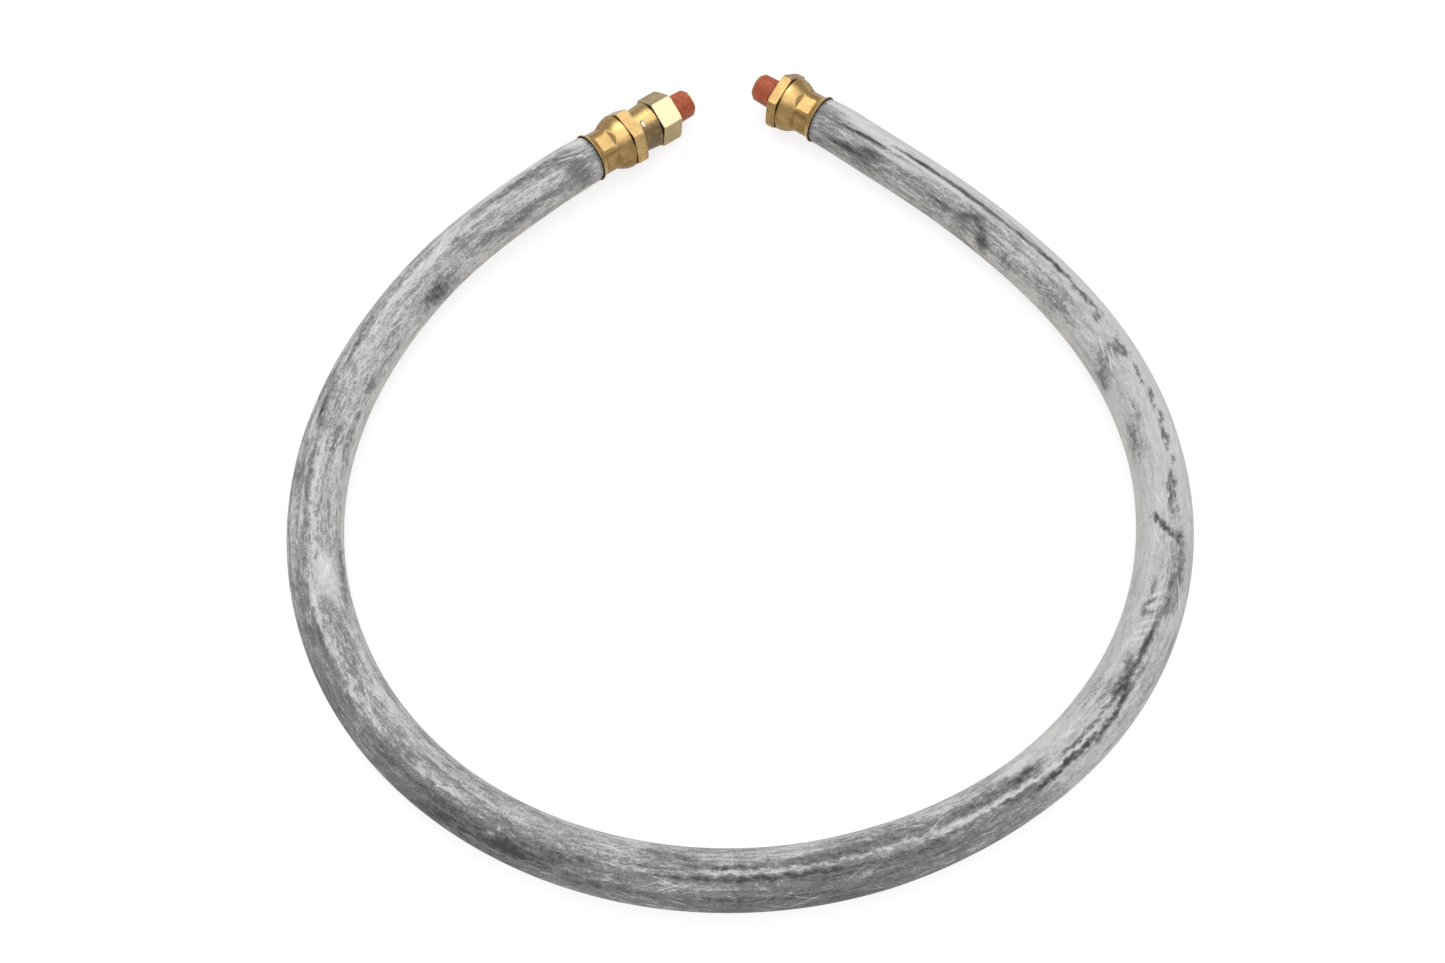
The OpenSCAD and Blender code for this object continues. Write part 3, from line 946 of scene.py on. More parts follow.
@dataclass
class HoseLine:
    """The hose's centreline, from inside one nut to inside the other.

    Args:
        radius: The hose's outside radius.
        straight_out: How far the hose leaves each nut straight.
        inside: How far the line goes on inside each nut.
        step: About how far apart the line's points are.
        reach: How far to each side of a point its direction is taken over.
        points: The line's points, worked out here.
        along: Each point's distance along the hose, 0 at the swivel end's lip.
        length: The hose's length between its lips.
    """

    radius: float = 11.1 * MM
    straight_out: float = 6 * MM
    inside: float = 16.3 * MM
    step: float = 1 * MM
    reach: float = 2 * MM
    points: np.ndarray = field(init=False)
    along: np.ndarray = field(init=False)
    length: float = field(init=False)

    def __post_init__(self) -> None:
        """Works out the line, which never lies lower than on the floor."""
        a, b = SWIVEL_AXIS, FIXED_AXIS
        route = (Vector((x * MM, y * MM, lift * MM + self.radius)) for x, y, lift in ROUTE)
        points = np.array([a.point(-self.straight_out), *route, b.point(-self.straight_out)])
        bent = smooth_line(points, np.array(-a.direction()), np.array(b.direction()), self.step)
        bent[:, 2] = np.maximum(bent[:, 2], self.radius)
        self.points = np.vstack([np.array(a.point(self.inside)), np.array(a.point(0)), bent,
                                 np.array(b.point(0)), np.array(b.point(self.inside))])
        steps = np.linalg.norm(np.diff(self.points, axis=0), axis=1)
        self.along = np.concatenate([[0], np.cumsum(steps)]) - self.inside
        self.length = float(self.along[-1]) - self.inside

    def at(self, stations: np.ndarray) -> np.ndarray:
        """The points of the line at some distances along it, one a row."""
        columns = [np.interp(stations, self.along, self.points[:, k]) for k in range(3)]
        return np.stack(columns, axis=1)

    def depth(self, stations: np.ndarray) -> np.ndarray:
        """How deep inside the nearer nut each station lies, and less than 0 outside it."""
        return np.maximum(-stations, stations - self.length)

    def frames(self, stations: np.ndarray) -> tuple[np.ndarray, np.ndarray, np.ndarray]:
        """The line's points, and its directions outwards from the loop and upwards.

        Args:
            stations: Distances along the hose.

        Returns:
            Points, outward and upward unit vectors, one a row in each.
        """
        ways = self.at(stations + self.reach) - self.at(stations - self.reach)
        ways /= np.linalg.norm(ways, axis=1)[:, None]
        outward = np.cross(ways, (0, 0, 1))
        outward /= np.linalg.norm(outward, axis=1)[:, None]
        return self.at(stations), outward, np.cross(outward, ways)


@dataclass(frozen=True)
class Sweep:
    """One skin of a tube: the stations of its rings, and the radius of each."""

    stations: np.ndarray
    radii: np.ndarray


def sweep_wall(name: str, line: HoseLine, outside: Sweep, inside: Sweep,
               sides: int) -> bpy.types.Object:
    """Sweeps a ring-shaped section along the hose.

    Args:
        name: The piece's name.
        line: The hose's centreline.
        outside: The outer skin.
        inside: The inner skin, which ends at the same stations.
        sides: Points in each ring.

    Returns:
        The closed wall, with its place along and around the hose on its points.
    """
    turn = ring_turns(sides)
    points, along, around = [], [], []
    for skin in (outside, inside):
        centres, outward, upward = line.frames(skin.stations)
        ways = (np.cos(turn)[None, :, None] * upward[:, None]
                + np.sin(turn)[None, :, None] * outward[:, None])
        ring_points = centres[:, None] + ways * skin.radii[:, None, None]
        points.append(ring_points.reshape(-1, 3))
        along.append(np.repeat(skin.stations, sides))
        around.append(np.tile(turn, len(skin.stations)))
    faces = wall_faces(len(outside.stations), len(inside.stations), sides)
    piece = mesh_piece(name, np.concatenate(points), faces)
    along, around = np.concatenate(along), np.concatenate(around)
    mean = float(outside.radii.mean())
    section = [mean * np.cos(around), mean * np.sin(around), along]
    put_values(piece, "hose_place", np.stack(section, axis=1))
    put_values(piece, "lay", np.stack([along, mean * around, 0 * along], axis=1))
    return piece


@dataclass(frozen=True)
class HoseLayer:
    """One layer of the hose: a wall between two radii, which the nuts squeeze.

    Args:
        name: The piece's name.
        node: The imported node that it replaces.
        slot: Its record slot.
        inner: Its inner radius.
        outer: Its outer radius.
        inner_squeeze: How much the inner radius loses inside a nut.
        outer_squeeze: How much the outer radius loses inside a nut.
        step: About how far apart its rings are.
        sides: Points in each ring.
        lead: How far before a lip the squeeze begins.
        grip: How far it takes to its full depth.
    """

    name: str
    node: str
    slot: str
    inner: float
    outer: float
    inner_squeeze: float
    outer_squeeze: float
    step: float = 5 * MM
    sides: int = 36
    lead: float = 0.6 * MM
    grip: float = 5 * MM

    def build(self, line: HoseLine) -> bpy.types.Object:
        """Sweeps the wall along the hose.

        Args:
            line: The hose's centreline.

        Returns:
            The closed wall, with its place along and around the hose on its points.
        """
        low, high = line.along[0], line.along[-1]
        stations = np.linspace(low, high, round((high - low) / self.step))
        gripped = ramp(line.depth(stations), -self.lead, self.grip - self.lead)
        outside = Sweep(stations, self.outer - self.outer_squeeze * gripped)
        inside = Sweep(stations, self.inner - self.inner_squeeze * gripped)
        return sweep_wall(self.name, line, outside, inside, self.sides)


@dataclass(frozen=True)
class BakeLayout:
    """The cover unrolled into strips, one above the other, so that its dust bakes finely.

    Args:
        strips: How many strips the outer skin is cut into.
        strips_high: How much of the map's height they take together.
        strip_gap: The share of a strip's height that stays free on either side.
        caps_at: The height at which the rims lie.
        caps_high: How far apart the two edges of a rim are.
        caps_wide: How much of its half of the width a rim fills.
        bore_at: The height at which the inner skin lies.
        bore_high: The inner skin's height.
        margin: What stays free round the whole map.
    """

    strips: int = 4
    strips_high: float = 0.93
    strip_gap: float = 0.04
    caps_at: float = 0.94
    caps_high: float = 0.015
    caps_wide: float = 0.96
    bore_at: float = 0.965
    bore_high: float = 0.03
    margin: float = 0.002

    def lay_out(self, piece: bpy.types.Object, rings: int, bore_rings: int, sides: int) -> None:
        """Gives the cover its map.

        Args:
            piece: The cover, as sweep_wall makes it.
            rings: Rings in its outer skin.
            bore_rings: Rings in its inner skin.
            sides: Points in each ring.
        """
        mesh = piece.data
        corner = np.empty(len(mesh.loops), dtype=int)
        mesh.loops.foreach_get("vertex_index", corner)
        face, ring, side = np.arange(len(corner)) // 4, corner // sides, corner % sides
        row = face // sides
        caps = face - (rings + bore_rings - 2) * sides
        at_seam = np.where(caps < 0, face % sides, caps // 2) == sides - 1
        around = (side + sides * (at_seam & (side == 0))) / sides
        per_strip = math.ceil((rings - 1) / self.strips)
        strip = row // per_strip
        height = strip + self.strip_gap + (1 - 2 * self.strip_gap) * around
        outer = [(ring - strip * per_strip) / per_strip, height * self.strips_high / self.strips]
        inner = [(ring - rings) / (bore_rings - 1), self.bore_at + self.bore_high * around]
        cap = [(caps % 2 + around * self.caps_wide) / 2,
               self.caps_at + self.caps_high * (ring >= rings)]
        places = np.where(row < rings - 1, outer, np.where(caps < 0, inner, cap)).T
        places = self.margin + (1 - 2 * self.margin) * places
        layer = mesh.uv_layers.new(name="OFBake")
        layer.data.foreach_set("uv", places.astype(np.float32).ravel())


# ---- The dust on the cover ----


@dataclass(frozen=True)
class Mark:
    """A place where the dust is thicker or thinner than about it.

    Args:
        at: Its middle, in mm from the swivel end's lip.
        around: Its middle's angle, 0 on top and positive on the outside of the loop.
        long: Its half length in mm.
        wide: Its half width in mm.
        tone: How much dust it adds.
        slant: How far it climbs round the hose, in degrees for each mm along it.
        ends: How sharply it stops along the hose.
        sides: How sharply it stops round the hose.
    """

    at: float
    around: float
    long: float
    wide: float
    tone: float
    slant: float = 0.0
    ends: float = 3
    sides: float = 2.5

    def weight(self, along: np.ndarray, around: np.ndarray, radius: float) -> np.ndarray:
        """How strongly the mark shows at each point.

        Args:
            along: Distances in mm from the swivel end's lip.
            around: Angles round the hose in degrees.
            radius: The hose's radius in mm.

        Returns:
            1 in the mark's middle, falling to 0 beyond its edge.
        """
        reach = along - self.at
        off = (around - self.around - self.slant * reach + 180) % 360 - 180
        across = np.radians(off) * radius
        along_fade = np.abs(reach / self.long) ** self.ends
        return np.exp(-along_fade - np.abs(across / self.wide) ** self.sides)


@dataclass(frozen=True)
class Ripple:
    """A slanting wave over the cover.

    Args:
        height: How high it is.
        along: How fast its phase goes, in radians for each mm along the hose.
        around: How fast its phase goes, in radians for each degree round it.
        phase: Its phase where both are 0.
    """

    height: float
    along: float
    around: float
    phase: float = 0.0

    def read(self, place: np.ndarray, angle: np.ndarray) -> np.ndarray:
        """The wave's height at points given in mm along the hose and degrees round it."""
        return self.height * np.sin(self.along * place + self.around * angle + self.phase)


# How thick the dust lies in broad stretches: mm along, then on the loop's inner side,
# on top and on its outer side. Round the bottom of the loop the outer side's low values
# stand partly for dust rubbed off and partly for painted shade where that side faces front and
# down.
DUST_AND_SHADE_LEVELS = [
    (0, 0.45, 0.60, 0.80), (40, 0.55, 0.60, 0.80), (100, 0.60, 0.65, 0.60),
    (190, 0.70, 0.70, 0.55), (230, 0.65, 0.65, 0.60), (300, 0.65, 0.45, 0.35),
    (380, 0.60, 0.55, 0.20), (420, 0.60, 0.50, 0.40), (490, 0.60, 0.40, 0.20),
    (560, 0.55, 0.50, 0.40), (590, 0.70, 0.65, 0.65), (650, 0.70, 0.55, 0.65),
    (750, 0.70, 0.75, 0.75), (860, 0.55, 0.70, 0.80), (969, 0.45, 0.65, 0.75),
]

# The hose's own smears, rubs, scratches and scuffs
MARKS = [
    # Near the swivel end
    Mark(4, -42, 5, 9, 0.12), Mark(13, -28, 5, 7, -0.2), Mark(10, -66, 6, 4, -0.12),
    Mark(28, 8, 20, 2.6, -0.26, 0.1), Mark(34, -38, 22, 1.2, 0.22, 0.5),
    Mark(30, -22, 16, 0.8, 0.18, 0.2), Mark(48, -62, 12, 3.0, -0.16, -0.3),
    Mark(45, 14, 24, 1.2, -0.2), Mark(66, -52, 5, 2.2, -0.18), Mark(77, -28, 3.5, 5.0, -0.14),
    Mark(78, -9, 2.6, 0.8, -0.3), Mark(60, -6, 20, 0.7, 0.2, 0.05), Mark(7, 15, 5, 5, 0.2),
    # Smears and lengthwise rubs further on
    Mark(103, -66, 6.5, 3.6, -0.5, 0.6), Mark(96, -58, 5, 4.0, -0.2),
    Mark(102, 2, 26, 0.9, 0.26, 0.12), Mark(90, -8, 20, 0.6, 0.2),
    Mark(104, 21, 15, 1.1, -0.26), Mark(92, 16, 6, 0.9, -0.2),
    Mark(134, 22, 9, 1.1, -0.3, -0.4), Mark(146, 14, 8, 0.8, -0.26, -0.4),
    Mark(125, -31, 12, 3.2, -0.12), Mark(150, -22, 26, 0.5, 0.18, 0.1),
    Mark(168, 2, 4, 1.8, -0.22), Mark(176, 17, 8, 0.9, -0.5, -0.5),
    Mark(160, 12, 12, 0.8, -0.2, 0.1), Mark(158, -58, 4, 1.6, -0.22),
    Mark(173, -60, 3, 1.4, -0.3), Mark(186, -42, 9, 4.5, -0.22), Mark(184, -58, 7, 1.0, -0.2),
    Mark(189, -30, 9, 1.0, -0.22), Mark(204, 34, 5, 2.5, -0.22), Mark(219, -8, 26, 0.8, 0.28),
    Mark(218, 8, 22, 0.8, -0.22), Mark(228, -19, 12, 0.5, -0.26), Mark(198, 5, 8, 1.4, -0.16),
    # The pale patch and the dark strip on the loop's outer side
    Mark(251, -30, 9, 4.6, 0.34), Mark(256, -63, 9, 1.2, -0.28, 0.6),
    Mark(242, -72, 8, 1.6, -0.24), Mark(292, -48, 26, 0.9, 0.22, 0.5),
    Mark(282, -30, 14, 2.4, -0.2), Mark(303, -22, 18, 0.7, -0.2), Mark(296, -12, 22, 0.6, -0.2),
    Mark(262, 6, 9, 1.6, 0.34), Mark(283, 4, 8, 1.3, 0.34), Mark(301, 6, 7, 1.5, 0.32),
    Mark(319, 3, 8, 1.1, 0.26), Mark(341, 9, 7, 1.0, 0.2), Mark(272, 14, 24, 0.7, -0.2),
    Mark(352, 2, 12, 1.2, 0.2), Mark(336, -18, 30, 0.8, -0.12),
    Mark(378, 25, 2.4, 1.5, 0.5, -4), Mark(384, 34, 7, 3.2, -0.3),
    Mark(398, 30, 12, 1.6, -0.26, -0.8), Mark(390, 45, 14, 1.2, -0.26),
    Mark(368, 48, 14, 1.0, -0.2), Mark(388, 4, 12, 1.2, -0.22, 0.6),
    Mark(402, 14, 16, 1.0, -0.24, -0.4), Mark(420, 50, 20, 1.3, -0.22),
    Mark(470, 52, 24, 1.2, -0.2),
    # Across the bottom of the loop
    Mark(442, -27, 11, 2.6, -0.3, 0.6), Mark(462, -12, 14, 0.9, -0.34),
    Mark(436, -4, 16, 0.7, -0.22), Mark(470, -2, 26, 0.9, 0.36), Mark(448, 10, 12, 0.8, -0.26),
    Mark(480, 9, 24, 0.9, -0.46), Mark(466, 24, 26, 0.9, 0.22), Mark(457, -40, 10, 3.0, 0.12),
    Mark(492, -13, 20, 1.8, -0.26), Mark(520, -24, 20, 2.6, -0.26),
    Mark(560, -18, 22, 2.2, -0.34), Mark(577, -13, 7, 2.2, -0.45), Mark(512, -4, 20, 0.8, 0.36),
    Mark(548, 2, 24, 0.9, 0.32), Mark(590, 7, 24, 0.6, 0.36, 0.1),
    Mark(520, 20, 26, 1.6, -0.16), Mark(534, 42, 26, 2.4, -0.14), Mark(545, -44, 8, 3.4, 0.16),
    Mark(576, -38, 7, 2.8, 0.3), Mark(566, 10, 10, 1.6, 0.16), Mark(555, 12, 20, 0.7, -0.22),
    # The long irregular streak up the far side
    Mark(572, 13, 8, 1.0, -0.51), Mark(586, 20, 10, 0.9, -0.75, -0.3),
    Mark(602, 19, 10, 1.1, -0.75, 0.2), Mark(617, 22, 8, 0.8, -0.69, -0.5),
    Mark(602, 4, 8, 0.7, -0.45), Mark(612, 0, 12, 0.5, -0.39), Mark(630, -2, 7, 1.7, -0.69),
    Mark(629, 10, 6, 1.2, -0.54, -1.2), Mark(646, 1, 9, 1.0, -0.6),
    Mark(640, -14, 3, 1.6, -0.39), Mark(656, 2, 8, 0.8, -0.45), Mark(634, 16, 10, 0.8, -0.39),
    # Hatched scuffs
    Mark(651, -12, 2.2, 0.6, 0.45, 7), Mark(655, -10, 2.4, 0.6, 0.45, 7),
    Mark(659, -10, 2.4, 0.6, 0.45, 7), Mark(663, -14, 2.4, 0.6, -0.45, 6),
    Mark(666, -14, 2.4, 0.6, 0.45, 6), Mark(668, -17, 2.2, 0.6, -0.45, 6),
    Mark(671, -14, 2.0, 0.6, 0.45, 6), Mark(664, -27, 3, 1.0, -0.42),
    Mark(672, -24, 4, 0.8, -0.39), Mark(700, -8, 2.8, 1.4, -0.69, -5),
    Mark(704, -24, 3.0, 0.7, -0.69, -5), Mark(707, -33, 2.6, 0.5, -0.45),
    Mark(714, -4, 8, 0.6, -0.51), Mark(718, 0, 8, 0.5, -0.45), Mark(668, 12, 4, 1.0, -0.39),
    Mark(678, 12, 3, 0.9, -0.39), Mark(697, 14, 3, 0.9, -0.45), Mark(709, 12, 3, 0.7, -0.33),
    # The chain of spots
    Mark(722, 8, 2.4, 0.9, -0.54), Mark(733, 14, 2.0, 0.8, -0.54), Mark(745, 8, 2.8, 1.0, -0.6),
    Mark(742, 15, 2.4, 0.8, -0.51), Mark(752, 16, 2.4, 0.9, -0.63),
    Mark(763, 13, 2.6, 1.0, -0.63), Mark(775, 8, 3.0, 0.8, -0.54),
    Mark(787, 4, 4.0, 1.6, -0.51), Mark(797, 13, 4.0, 0.7, -0.3),
    Mark(805, -2, 2.4, 1.4, -0.42), Mark(810, 12, 6, 0.8, -0.36), Mark(818, 6, 6, 1.0, -0.63),
    Mark(831, 9, 5, 0.9, -0.54), Mark(841, 8, 8, 1.0, -0.75), Mark(857, 5, 7, 0.9, -0.66),
    Mark(716, 7, 1.6, 0.6, -0.4), Mark(726, 5, 1.3, 0.8, -0.5), Mark(738, 9, 1.2, 0.7, -0.5),
    Mark(749, 10, 1.3, 0.8, -0.5), Mark(757, 8, 1.4, 0.7, -0.45), Mark(769, 6, 1.4, 0.8, -0.5),
    Mark(782, 12, 1.4, 0.6, -0.4), Mark(690, 20, 10, 2.2, -0.25), Mark(676, 24, 12, 2.0, -0.2),
    Mark(872, 4, 8, 0.9, -0.6), Mark(888, 3, 10, 0.9, -0.84), Mark(906, 3, 10, 0.8, -0.75),
    Mark(918, 2, 8, 0.6, -0.51), Mark(866, 17, 16, 0.6, -0.27),
    # Smudges on the far side's inner flank
    Mark(745, -58, 9, 4.0, -0.24), Mark(757, -30, 5, 0.8, -0.3),
    Mark(779, -70, 5, 3.0, -0.24, 1.2), Mark(785, -48, 5, 2.6, -0.24, 1.6),
    Mark(788, -18, 4, 4.0, -0.24), Mark(827, -40, 10, 3.6, -0.17),
    Mark(851, -68, 1.0, 2.4, -0.31), Mark(855, -62, 1.0, 2.6, -0.31),
    Mark(868, -72, 3.6, 4.0, -0.43, 2), Mark(873, -44, 5, 2.4, -0.33, 2),
    Mark(880, -36, 5, 1.4, -0.48, -2), Mark(882, -58, 4, 2.0, -0.2),
    Mark(895, -52, 6, 1.0, -0.27), Mark(942, -52, 10, 2.6, -0.32, -0.9),
    Mark(946, -64, 10, 1.0, -0.45, -0.4), Mark(936, -42, 6, 2.0, -0.28),
    Mark(945, -18, 11, 0.6, -0.75, -0.5), Mark(938, -17, 8, 0.8, -0.39),
    Mark(925, -26, 22, 1.4, 0.3, -0.4), Mark(912, -8, 34, 0.8, 0.3, 0.05),
    Mark(944, 4, 14, 1.2, 0.33, -0.6), Mark(955, 14, 10, 1.6, 0.24),
    # Broad thin and thick places
    Mark(27, -60, 9, 4, -0.12), Mark(222, 31, 11, 4, 0.14), Mark(250, 31, 13, 4, -0.12),
    Mark(273, 30, 11, 4, -0.1), Mark(465, 31, 20, 4, 0.12), Mark(574, 2, 9, 4, 0.1),
    Mark(625, -31, 12, 4, -0.12), Mark(880, -60, 18, 4, -0.1), Mark(957, 0, 10, 4, -0.12),
]


@dataclass(frozen=True)
class DustCoat:
    """How thick the dust lies on the cover, and where a painted beige reflection of the floor lies
    on it.

    Args:
        radius: The hose's radius in mm.
        flank: The degrees from the top at which a side's own thickness holds.
        ragged: Pairs of mm along and how ragged the marks' edges are.
        shift: How far a ragged edge is moved along, in mm.
        sway: What a ragged edge is moved round by, in degrees.
        thinning: The part of each mark's strength that stays even.
        patches: Two waves whose product makes a mark patchy.
        mark_reach: How many half lengths from its middle a mark is drawn.
        edge_from: The degrees from the top between which the edges pale.
        edge_adds: How much they pale.
        below_from: The degrees from the top between which the underside begins.
        below: The thickness on the underside.
        bare_lip: The distances from a lip between which the dust begins.
        calm: Pairs of mm along and how evenly the thick dust lies.
        painted_bounce_strength: How strong the painted beige reflection of the floor is on the dust
            underneath.
        painted_bounce_from: The cosine of the angle at which that painted reflection begins.
    """

    radius: float = 11.1
    flank: float = 26
    ragged: Table = ((640, 1.0), (648, 0.2), (674, 0.2), (682, 1.0), (820, 1.0), (860, 0.2))
    shift: Ripple = Ripple(0.8, 1.1, 0.21)
    sway: tuple[Ripple, ...] = (
        Ripple(1.2, 1.7, -0.13), Ripple(1.2, 1.13, 0.3, 1), Ripple(1.7, 0.61, 0.09, 2))
    thinning: float = 0.97
    patches: tuple[Ripple, Ripple] = (Ripple(0.4, 0.53, 0.12), Ripple(1, 1.3, -0.17, 1))
    mark_reach: float = 2.2
    edge_from: Span = (62, 87)
    edge_adds: float = 0.05
    below_from: Span = (92, 132)
    below: float = 0.6
    bare_lip: Span = (0.2 * MM, 1.8 * MM)
    calm: Table = ((0, 0.2), (60, 0.2), (90, 0), (130, 0), (250, 0.1), (540, 0.2), (600, 0.6),
                   (700, 0.7), (969, 0.7))
    painted_bounce_strength: float = 0.6
    painted_bounce_from: float = 0.4

    def lay(self, piece: bpy.types.Object, line: HoseLine, along: np.ndarray,
            around: np.ndarray) -> None:
        """Stores the dust, its evenness and the painted beige reflection of the floor on the
        cover's points.

        Args:
            piece: The cover.
            line: The hose's centreline.
            along: Each point's distance from the swivel end's lip.
            around: Each point's angle round the hose, 0 on top and positive on the outside.
        """
        put_values(piece, "dust", self.thickness(line, along, around))
        put_values(piece, "calm", from_table(along / MM, self.calm))
        # Painted reflection of the floor's bounce light, strongest on the underside.
        painted_bounce = np.clip(self.painted_bounce_from - np.cos(around), 0, 1)
        put_values(piece, "painted_bounce", self.painted_bounce_strength * painted_bounce)

    def thickness(self, line: HoseLine, along: np.ndarray, around: np.ndarray) -> np.ndarray:
        """How thick the dust lies at each point.

        Args:
            line: The hose's centreline.
            along: Distances from the swivel end's lip.
            around: Angles round the hose in radians.

        Returns:
            The thickness, where 0 is bare and 1 is full.
        """
        place = along / MM
        angle = (np.degrees(around) + 180) % 360 - 180
        level = self.broad(place, angle)
        self.add_marks(level, place, angle)
        level += self.edge_adds * ramp(np.abs(angle), *self.edge_from)
        level += (self.below - level) * ramp(np.abs(angle), *self.below_from)
        return level * ramp(-line.depth(along), *self.bare_lip)

    def broad(self, place: np.ndarray, angle: np.ndarray) -> np.ndarray:
        """Looks up the thickness in broad stretches, with the painted shade on the outer side of
        the loop's bottom.

        Args:
            place: Each point's distance along in mm.
            angle: Each point's angle round the hose in degrees.

        Returns:
            The thickness, which runs evenly from the inner side over the top to the outer.
        """
        stations, *levels = np.array(DUST_AND_SHADE_LEVELS).T
        inner, top, outer = (np.interp(place, stations, level) for level in levels)
        side = np.clip(angle / self.flank, -1, 1)
        side = side * (3 - side**2) / 2  # eased, so that no edge shows at the flanks
        return top + np.where(side < 0, (inner - top) * -side, (outer - top) * side)

    def add_marks(self, level: np.ndarray, place: np.ndarray, angle: np.ndarray) -> None:
        """Adds every mark, with ragged edges.

        Args:
            level: The thickness so far, which is changed.
            place: Each point's distance along in mm.
            angle: Each point's angle round the hose in degrees.
        """
        ragged = from_table(place, self.ragged)
        moved_place = place + ragged * self.shift.read(place, angle)
        moved_angle = angle + ragged * sum(wave.read(place, angle) for wave in self.sway)
        one, other = (wave.read(place, angle) for wave in self.patches)
        strength = self.thinning + ragged * one * other
        for mark in MARKS:
            near = np.abs(place - mark.at) < self.mark_reach * mark.long
            weight = mark.weight(moved_place[near], moved_angle[near], self.radius)
            level[near] += strength[near] * mark.tone * weight


# ---- The hose ----


@dataclass
class RubberHose:
    """The hose: an inner tube, two braids and a cover.

    Args:
        line: Its centreline.
        layers: The layers under the cover.
        dust: The dust on the cover.
        bake: The cover's map.
        cover_step: About how far apart the cover's rings are.
        cover_sides: Points in each of its rings.
        widths: Pairs of mm from the swivel end's lip and the cover's width as a share of
            its nominal one, between the two necks.
        swivel_neck: The same pairs where the swivel end's nut necks the cover in.
        fixed_neck: Pairs of mm from the fixed end's lip and that share.
        bore_radius: The radius of its inner skin.
        bore_rings: Rings in its inner skin.
        bore_squeeze: How much the inner skin loses inside a nut.
        tuck: How far the cover goes inside each nut.
        lead: How far before a lip its bevel begins.
        bevel: How much the bevel takes off at its end.
        bevel_curve: How rounded the bevel is.
        path_points: Points in the cord's path.
    """

    line: HoseLine = field(default_factory=HoseLine)
    layers: tuple[HoseLayer, ...] = (
        HoseLayer("inner_tube", "hose_liner", "liner_rubber",
                  inner=6.4 * MM, outer=8.05 * MM,
                  inner_squeeze=0, outer_squeeze=0.385 * MM),
        HoseLayer("first_braid", "hose_inner_braid", "textile_braid",
                  inner=8.05 * MM, outer=8.65 * MM,
                  inner_squeeze=0.385 * MM, outer_squeeze=0.4675 * MM),
        HoseLayer("second_braid", "hose_outer_braid", "textile_braid",
                  inner=8.65 * MM, outer=9.25 * MM,
                  inner_squeeze=0.4675 * MM, outer_squeeze=0.55 * MM),
    )
    dust: DustCoat = DustCoat()
    bake: BakeLayout = BakeLayout()
    cover_step: float = 1.2 * MM
    cover_sides: int = 108
    widths: Table = (
        (250, 1.0), (285, 1.0), (326, 0.989), (352, 0.979), (374, 0.981), (400, 0.991),
        (425, 1.0), (518, 1.0), (550, 0.966), (575, 0.956), (598, 0.970), (622, 0.99),
        (662, 0.995), (710, 1.0), (742, 0.985), (758, 0.997), (870, 0.997), (900, 0.988),
    )
    swivel_neck: Table = ((0, 0.966), (4, 0.974), (11, 0.998))
    fixed_neck: Table = ((0, 0.966), (4, 0.974), (11, 0.995))
    bore_radius: float = 9.25 * MM
    bore_rings: int = 200
    bore_squeeze: float = 0.198 * MM
    tuck: float = 1.2 * MM
    lead: float = 0.6 * MM
    bevel: float = 1.45 * MM
    bevel_curve: float = 1.2
    path_points: int = 400

    def build(self) -> None:
        finishes = {"liner_rubber": Plain("liner_rubber").build(), "textile_braid": Braid().build()}
        for layer in self.layers:
            piece = layer.build(self.line)
            dress(piece, finishes[layer.slot], Body.HOSE)
            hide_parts(layer.node)
            log.info("%s: %d points", piece.name, len(piece.data.vertices))
        cover = self.build_cover()
        dress(cover, ChalkedRubber().build(), Body.HOSE)
        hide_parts("hose_cover")
        path = self.line.at(np.linspace(0, self.line.length, self.path_points))
        log.info("%s: %d points, %.3f m long",
                 cover.name, len(cover.data.vertices), self.line.length)

    def cover_radii(self, stations: np.ndarray) -> np.ndarray:
        """The cover's outside radius at some stations, with its bevelled ends.

        Args:
            stations: Distances from the swivel end's lip.

        Returns:
            The radii.
        """
        far = self.line.length / MM
        far_neck = ((far - place, share) for place, share in reversed(self.fixed_neck))
        shares = from_table(stations / MM, (*self.swivel_neck, *self.widths, *far_neck))
        bevelled = ramp(self.line.depth(stations), -self.lead, self.tuck)
        return self.line.radius * shares - self.bevel * bevelled**self.bevel_curve

    def build_cover(self) -> bpy.types.Object:
        """Sweeps the rubber cover, with its own small unevenness, and lays its dust.

        Returns:
            The cover.
        """
        line, sides = self.line, self.cover_sides
        count = round(line.length / self.cover_step)
        stations = np.linspace(-self.tuck, line.length + self.tuck, count)
        bore_stations = np.linspace(stations[0], stations[-1], self.bore_rings)
        squeezed = ramp(line.depth(bore_stations), -self.lead, self.tuck)
        outside = Sweep(stations, self.cover_radii(stations))
        inside = Sweep(bore_stations, self.bore_radius - self.bore_squeeze * squeezed)
        piece = sweep_wall("rubber_cover", line, outside, inside, sides)
        rings = np.concatenate([stations, bore_stations])
        around = np.tile(ring_turns(sides), len(rings))
        self.dust.lay(piece, line, np.repeat(rings, sides), around)
        self.bake.lay_out(piece, len(stations), self.bore_rings, sides)
        return piece


# ---- The brass ends ----


